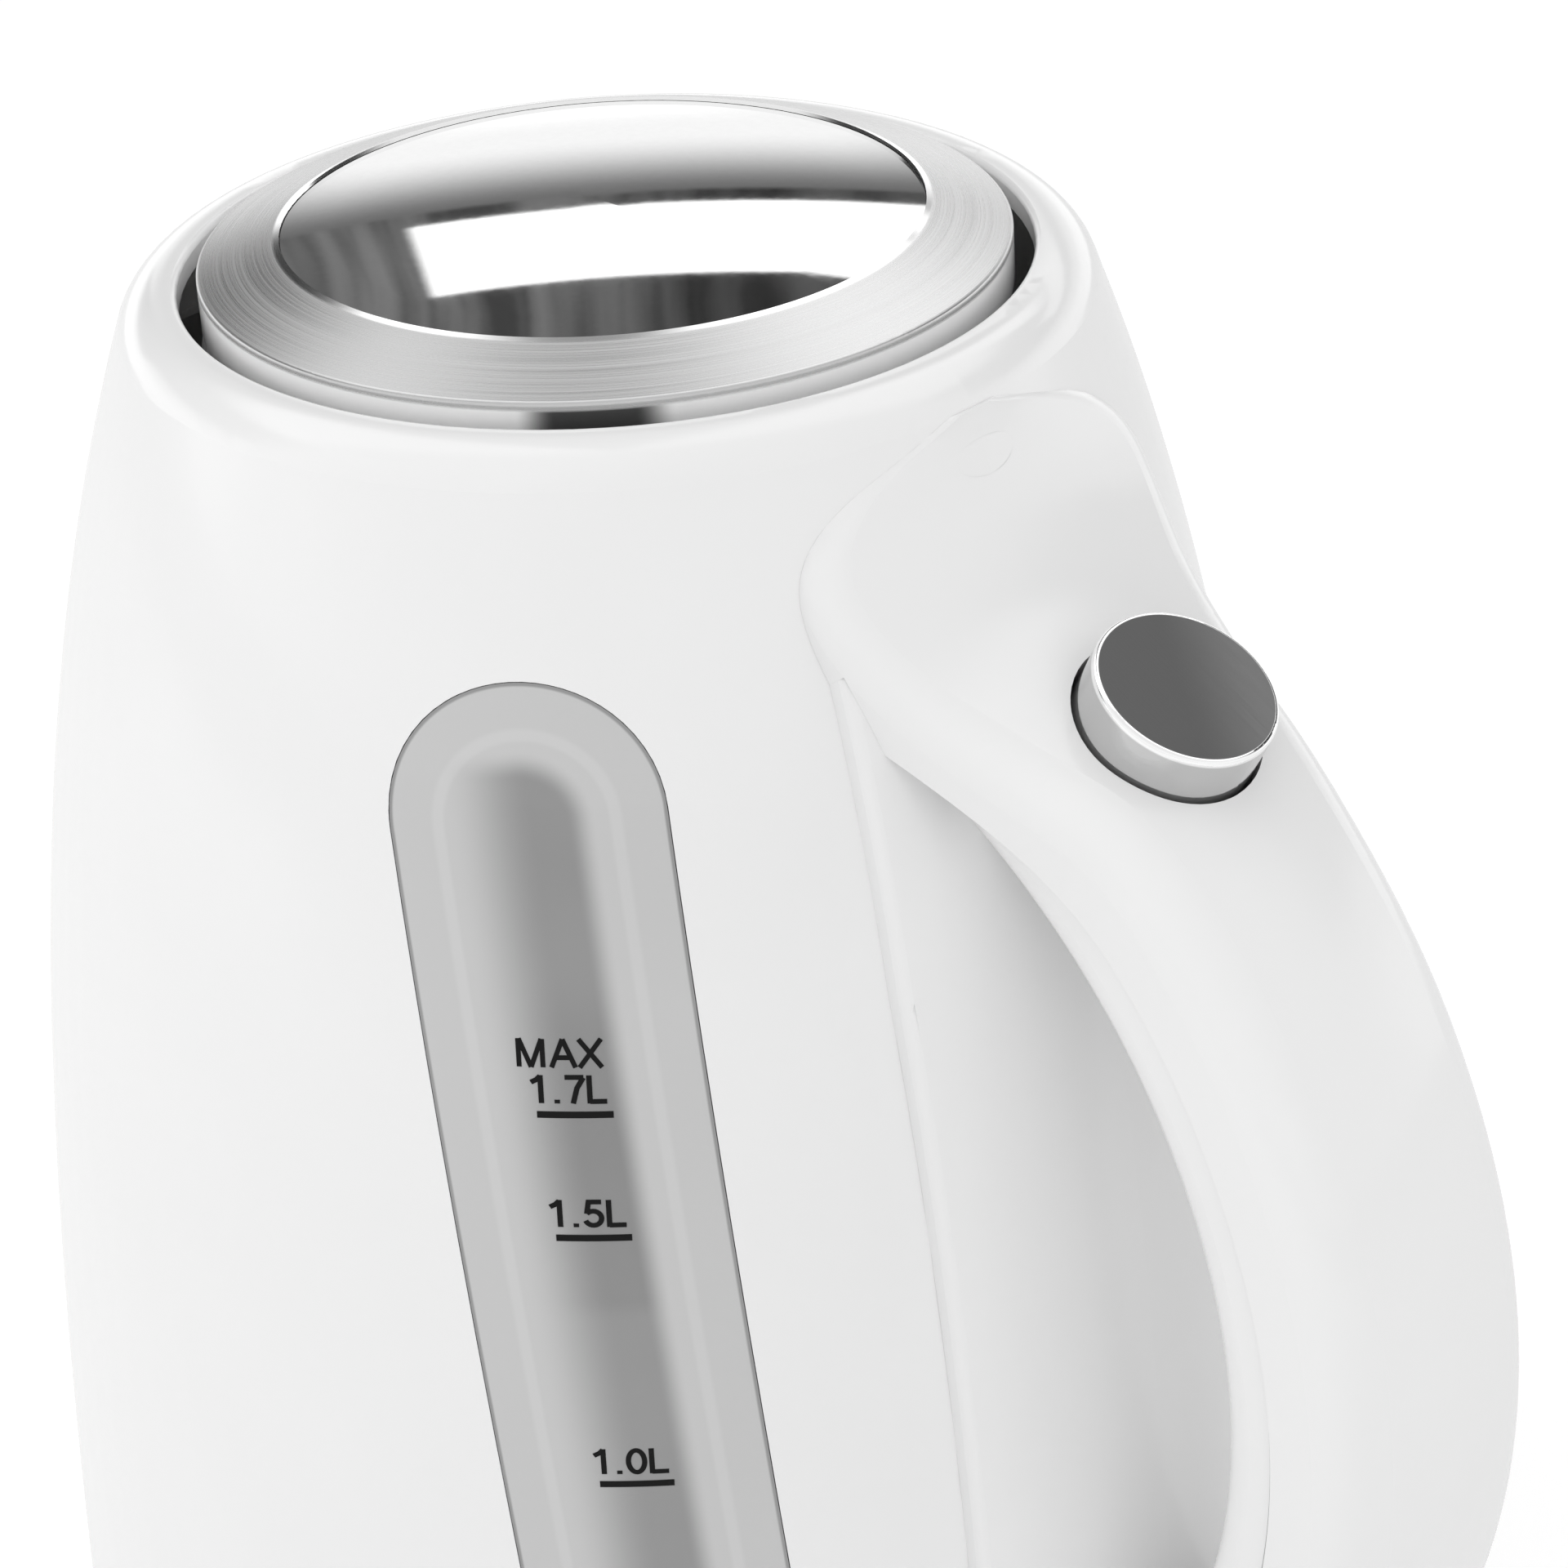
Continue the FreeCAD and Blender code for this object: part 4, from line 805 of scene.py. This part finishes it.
def printed_quads(words):
    """Ribbons of a row of figures, on a cap height of 1."""
    quads = []
    x = 0.0
    for figure in words:
        advance, lines = FIGURES[figure]
        for line in lines:
            quads += [[corner + Vector((x, 0)) for corner in quad] for quad in stroke_quads(line)]
        x += advance
    return quads


def tick_quads(start, z, length, width):
    """A level line, cut so that it follows the jug."""
    half = width / 2
    ends = [start + length * step / TICK_STEPS for step in range(TICK_STEPS + 1)]
    return [[(near, z - half), (far, z - half), (far, z + half), (near, z + half)]
            for near, far in zip(ends, ends[1:])]


class KETTLE_OT_level_marks(bpy.types.Operator):
    """Print the level figures and lines on the window"""

    bl_idname = "kettle.level_marks"
    bl_label = "Level marks"

    def execute(self, context):
        sizes = context.scene.kettle_sizes
        tone = context.scene.kettle_finishes.ink
        ink = moulded("level_ink", tone, roughness=0.45, grain=4000.0, grain_depth=0.00001, mottle=0.1)
        ink.node_tree.nodes["Principled BSDF"].inputs["Specular IOR Level"].default_value = INK_SHINE
        flat = []
        for mark in MARKS:
            left, line_z = mark["left"], RIM - mark["drop"]
            quads = printed_quads(mark["words"])
            low = min(corner.x for quad in quads for corner in quad)
            wide = max(corner.x for quad in quads for corner in quad) - low
            for quad in quads:
                flat.append([(left + (corner.x - low) * mark["width"] / wide,
                              line_z + corner.y * sizes.letter_height) for corner in quad])
            if mark["ticked"]:
                flat += tick_quads(left + TICK_SHIFT, line_z - TICK_DROP,
                                   sizes.tick_length, sizes.tick_width)
        points = [on_window(across, z, sizes.print_thickness) for quad in flat for across, z in quad]
        faces = [range(first, first + 4) for first in range(0, len(points), 4)]
        mesh = bpy.data.meshes.new("level_marks")
        mesh.from_pydata(points, [], faces)
        weld(mesh)
        for polygon in mesh.polygons:
            if polygon.normal.dot(OUTWARDS) < 0:
                polygon.flip()
        piece = link_object("level_marks", mesh, ink)
        thicken(piece, sizes.print_thickness)
        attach(piece, "jug")
        return {"FINISHED"}


# Paddle ribs: first rib's distance from the paddle's outer end, and how deep its middle sits
RIB_SETBACK = 0.0082
RIB_SINK = 0.0001
RIB_SIDES = 16


def rib_row(inputs):
    """Tree of equal bars in a row, and the value for the identifier of each input."""
    tree = bpy.data.node_groups.new("paddle_ribs", "GeometryNodeTree")
    face = tree.interface
    face.new_socket("Geometry", in_out="OUTPUT", socket_type="NodeSocketGeometry")
    values = {}
    for label, (kind, value) in inputs.items():
        socket = face.new_socket(label, in_out="INPUT", socket_type=f"NodeSocket{kind}")
        values[socket.identifier] = value
    inlet = add(tree, "NodeGroupInput").outputs
    outlet = add(tree, "NodeGroupOutput")
    step = add(tree, "ShaderNodeCombineXYZ", inputs={0: inlet["Pitch"]})
    row = add(tree, "GeometryNodeMeshLine", mode="OFFSET", inputs={
        "Count": inlet["Count"], "Start Location": inlet["Start"], "Offset": step.outputs[0]})
    bar = add(tree, "GeometryNodeMeshCylinder", inputs={
        "Vertices": RIB_SIDES, "Radius": inlet["Radius"], "Depth": inlet["Length"]})
    laid = add(tree, "GeometryNodeTransform", inputs={
        "Geometry": bar.outputs["Mesh"], "Rotation": (math.pi / 2, 0, 0)})
    copies = add(tree, "GeometryNodeInstanceOnPoints", inputs={
        "Points": row.outputs[0], "Instance": laid.outputs[0]})
    real = add(tree, "GeometryNodeRealizeInstances", inputs={0: copies.outputs[0]})
    dressed = add(tree, "GeometryNodeSetMaterial", inputs={
        "Geometry": real.outputs[0], "Material": inlet["Material"]})
    link(tree, dressed.outputs[0], outlet.inputs[0])
    return tree, values


def mesh_from_tree(name, tree, values):
    """Plain mesh of what a tree makes from its inputs."""
    holder = bpy.data.objects.new(name, bpy.data.meshes.new(name))
    bpy.context.scene.collection.objects.link(holder)
    modifier = holder.modifiers.new("tree", "NODES")
    modifier.node_group = tree
    for identifier, value in values.items():
        modifier[identifier] = value
    bpy.context.view_layer.update()
    evaluated = holder.evaluated_get(bpy.context.evaluated_depsgraph_get())
    mesh = bpy.data.meshes.new_from_object(evaluated)
    bpy.data.objects.remove(holder)
    return mesh


class KETTLE_OT_paddle_ribs(bpy.types.Operator):
    """Mould the finger ribs on the on/off paddle"""

    bl_idname = "kettle.paddle_ribs"
    bl_label = "Paddle ribs"

    def execute(self, context):
        sizes = context.scene.kettle_sizes
        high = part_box("switch_paddle")[1]
        plastic = bpy.data.materials["grey_moulding"]
        tree, values = rib_row({
            "Count": ("Int", sizes.rib_count),
            "Pitch": ("Float", sizes.rib_pitch),
            "Radius": ("Float", sizes.rib_radius),
            "Length": ("Float", sizes.rib_length),
            "Start": ("Vector", (high.x - RIB_SETBACK, 0, high.z - RIB_SINK)),
            "Material": ("Material", plastic),
        })
        mesh = mesh_from_tree("paddle_ribs_maker", tree, values)
        piece = link_object("paddle_ribs", mesh, plastic)
        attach(piece, "switch")
        return {"FINISHED"}


# Camera: place in metres, turn in degrees
CAMERA_PLACE = (0.32934331, -0.29654205, 0.3886924)
CAMERA_TURN = (60.950266, 2.932426, 44.261325)
SENSOR_WIDTH = 36

# Light cards that reflections see: edges in degrees of turn from +X or of rise above the horizon
BACK_TURN = 138
BACK_EDGE = (-0.15, 0.2)
FRONT_EDGE = (-0.1, 0.9)
FRONT_LEVELS = (1.0, 0.85)
LOW_CARD_EDGE = (14.5, 20.5)
LOW_CARD_LEVELS = (1.0, 0.16)
LOW_CARD_FOOT = (8.0, 13.5)
LOW_CARD_GAIN = (1.45, 1.0)
LOW_CARD_TOP = (20.2, 20.6)
STREAKS_ACROSS = 38.0
STREAKS_UP = 1.5
STREAK_RANGE = (0.35, 0.68)
STREAK_LEVELS = (0.05, 0.19)
STREAK_TURN = (132, 148)
STREAK_GAIN = (0.5, 1.45)
CEILING_RIGHT = (136, 116)
CEILING_LEFT = (149, 165)
CEILING_LEVELS = (0.28, 1.6)
CEILING_RISE = (36, 46)
STRIP_RISE = (21.4, 21.7)
STRIP_TOP = (27.6, 27.9)
STRIP_LEFT = (142.8, 143.3)
STRIP_RIGHT = (88, 90)
STRIP_LEVEL = 1.35
PANEL_LEFT = (121, 115)
PANEL_RIGHT = (98, 104)
PANEL_RISE = (28, 33)
PANEL_LEVEL = 1.6
SHADE_RIGHT = (153, 156)
SHADE_TOP = (33, 38)
SHADE_RISE = (9, 14)
SHADE_LEVEL = 0.04

# Floor, with a weak glow for the camera that reflections see in part
FLOOR_HALF = 4.0
FLOOR_TONE = (0.85, 0.85, 0.85, 1)
FLOOR_GLOW = 0.3
FLOOR_MIRRORED = 0.5
WHITE_LIGHT = (1, 1, 1, 1)

# Lamps: size in metres, and power as a share of the key light's
LAMPS = (
    {"name": "key", "place": (-0.55, -0.75, 0.6), "aim": (0, 0, 0.13), "size": (0.7, 0.9), "share": 1.0},
    {"name": "side", "place": (0.95, -0.1, 0.6), "aim": (0, 0, 0.13), "size": (0.5, 0.8), "share": 0.27},
    {"name": "low", "place": (0.8, -0.45, 0.24), "aim": (0.07, 0, 0.1), "size": (0.5, 0.3), "share": 0.17},
    {"name": "top", "place": (0.2, 0.1, 1.1), "aim": (0, 0, 0.2), "size": (0.8, 0.8), "share": 0.28},
)


def seen_directly(tree, path):
    """1 for what the camera sees, straight or through a clear piece, else 0."""
    return math_node(tree, "MAXIMUM", path.outputs["Is Camera Ray"], path.outputs["Is Transmission Ray"])


def mirrored_level(tree):
    """Light that reflections see: cards behind the kettle, an even front."""
    way = add(tree, "ShaderNodeTexCoord").outputs["Generated"]
    height = along(tree, way, UP)
    parts = add(tree, "ShaderNodeSeparateXYZ", inputs={0: way}).outputs
    turn = math_node(tree, "ARCTAN2", parts[1], parts[0])

    def across(edge, levels=RISE):
        """Step over an edge in degrees of turn."""
        return ramp_between(tree, turn, [math.radians(degrees) for degrees in edge], levels)

    def upwards(edge, levels=RISE):
        """Step over an edge in degrees of rise."""
        return ramp_between(tree, height, [math.sin(math.radians(degrees)) for degrees in edge], levels)

    low_card = product(tree, upwards(LOW_CARD_EDGE, LOW_CARD_LEVELS), upwards(LOW_CARD_FOOT, LOW_CARD_GAIN))
    stretched = add(tree, "ShaderNodeCombineXYZ", inputs={
        0: product(tree, turn, STREAKS_ACROSS), 1: product(tree, height, STREAKS_UP)}).outputs[0]
    streaks = ramp_between(tree, noise(tree, stretched, 1.0, detail=3.0), STREAK_RANGE, STREAK_LEVELS)
    dark = product(tree, streaks, across(STREAK_TURN, STREAK_GAIN))
    lit = math_node(tree, "MAXIMUM", across(CEILING_RIGHT), across(CEILING_LEFT))
    overhead = blend(tree, upwards(CEILING_RISE), dark, blend(tree, lit, *CEILING_LEVELS))
    cards = blend(tree, upwards(LOW_CARD_TOP), low_card, overhead)
    strip = product(tree, upwards(STRIP_RISE), upwards(STRIP_TOP, FALL),
                    across(STRIP_LEFT, FALL), across(STRIP_RIGHT))
    cards = blend(tree, strip, cards, STRIP_LEVEL)
    panel = product(tree, across(PANEL_LEFT), across(PANEL_RIGHT), upwards(PANEL_RISE))
    cards = blend(tree, panel, cards, PANEL_LEVEL)
    shade = product(tree, across(SHADE_RIGHT), upwards(SHADE_TOP, FALL), upwards(SHADE_RISE))
    cards = blend(tree, shade, cards, SHADE_LEVEL)
    behind = ramp_between(tree, along(tree, way, bearing(BACK_TURN)), BACK_EDGE)
    front = ramp_between(tree, height, FRONT_EDGE, FRONT_LEVELS)
    return blend(tree, behind, front, cards)


class KETTLE_OT_studio(bpy.types.Operator):
    """Set the floor, soft light and camera"""

    bl_idname = "kettle.studio"
    bl_label = "Studio"

    def execute(self, context):
        studio = context.scene.kettle_studio
        context.scene.view_settings.view_transform = "Standard"
        self.make_world(context.scene, studio.fill)
        self.make_floor()
        self.make_lamps(context.scene, studio.key)
        self.make_camera(context.scene, studio.lens)
        return {"FINISHED"}

    def make_world(self, scene, fill):
        world = bpy.data.worlds.new("studio")
        scene.world = world
        world.use_nodes = True
        tree = world.node_tree
        tree.nodes.clear()
        path = add(tree, "ShaderNodeLightPath")
        level = blend(tree, path.outputs["Is Glossy Ray"], fill, mirrored_level(tree))
        level = blend(tree, seen_directly(tree, path), level, 1.0)
        sky = add(tree, "ShaderNodeBackground", inputs={"Strength": level, "Color": WHITE_LIGHT})
        outlet = add(tree, "ShaderNodeOutputWorld")
        link(tree, sky.outputs[0], outlet.inputs[0])

    def make_floor(self):
        mesh = bpy.data.meshes.new("floor")
        half = FLOOR_HALF
        corners = [(-half, -half, 0), (half, -half, 0), (half, half, 0), (-half, half, 0)]
        mesh.from_pydata(corners, [], [(0, 1, 2, 3)])
        material, tree, shader = new_material("floor")
        tree.nodes.remove(shader)
        matt = add(tree, "ShaderNodeBsdfDiffuse", inputs={"Color": FLOOR_TONE})
        path = add(tree, "ShaderNodeLightPath")
        mirrored = product(tree, path.outputs["Is Glossy Ray"], FLOOR_MIRRORED)
        seen = math_node(tree, "MAXIMUM", seen_directly(tree, path), mirrored)
        glow = add(tree, "ShaderNodeEmission", inputs={
            "Color": WHITE_LIGHT, "Strength": product(tree, seen, FLOOR_GLOW)})
        both = add(tree, "ShaderNodeAddShader", inputs={0: matt.outputs[0], 1: glow.outputs[0]})
        link(tree, both.outputs[0], tree.nodes["Material Output"].inputs["Surface"])
        floor = link_object("floor", mesh, material)

    def make_lamps(self, scene, key):
        for row in LAMPS:
            lamp = bpy.data.lights.new(row["name"], "AREA")
            lamp.shape = "RECTANGLE"
            lamp.size, lamp.size_y = row["size"]
            lamp.energy = key * row["share"]
            holder = bpy.data.objects.new(row["name"], lamp)
            holder.location = row["place"]
            holder.visible_glossy = False
            ahead = Vector(row["aim"]) - Vector(row["place"])
            holder.rotation_euler = ahead.to_track_quat("-Z", "Y").to_euler()
            scene.collection.objects.link(holder)

    def make_camera(self, scene, lens):
        camera = bpy.data.cameras.new("camera")
        camera.lens = lens
        camera.sensor_width = SENSOR_WIDTH
        holder = bpy.data.objects.new("camera", camera)
        holder.location = CAMERA_PLACE
        holder.rotation_euler = [math.radians(degrees) for degrees in CAMERA_TURN]
        scene.collection.objects.link(holder)
        scene.camera = holder


class KETTLE_PT_panel(bpy.types.Panel):
    """Kettle pieces in the sidebar"""

    bl_idname = "KETTLE_PT_panel"
    bl_label = "Kettle"
    bl_space_type = "VIEW_3D"
    bl_region_type = "UI"
    bl_category = "Kettle"

    def draw(self, context):
        for operator in OPERATORS:
            self.layout.operator(operator.bl_idname)


OPERATORS = (
    KETTLE_OT_mouldings, KETTLE_OT_metals, KETTLE_OT_lid, KETTLE_OT_button, KETTLE_OT_button_spring,
    KETTLE_OT_handle_seam, KETTLE_OT_window, KETTLE_OT_level_marks, KETTLE_OT_paddle_ribs,
    KETTLE_OT_studio,
)
GROUPS = {"kettle_sizes": KettleSizes, "kettle_finishes": KettleFinishes, "kettle_studio": KettleStudio}


def register():
    for group in GROUPS.values():
        bpy.utils.register_class(group)
    for name, group in GROUPS.items():
        setattr(bpy.types.Scene, name, bpy.props.PointerProperty(type=group))
    for operator in OPERATORS:
        bpy.utils.register_class(operator)
    bpy.utils.register_class(KETTLE_PT_panel)


def unregister():
    bpy.utils.unregister_class(KETTLE_PT_panel)
    for operator in reversed(OPERATORS):
        bpy.utils.unregister_class(operator)
    for name, group in GROUPS.items():
        delattr(bpy.types.Scene, name)
        bpy.utils.unregister_class(group)


def main():
    register()
    bpy.ops.kettle.mouldings()
    bpy.ops.kettle.metals()
    bpy.ops.kettle.lid()
    bpy.ops.kettle.button()
    bpy.ops.kettle.button_spring()
    bpy.ops.kettle.handle_seam()
    bpy.ops.kettle.window()
    bpy.ops.kettle.level_marks()
    bpy.ops.kettle.paddle_ribs()
    bpy.ops.kettle.studio()


if __name__ == "__main__":
    main()
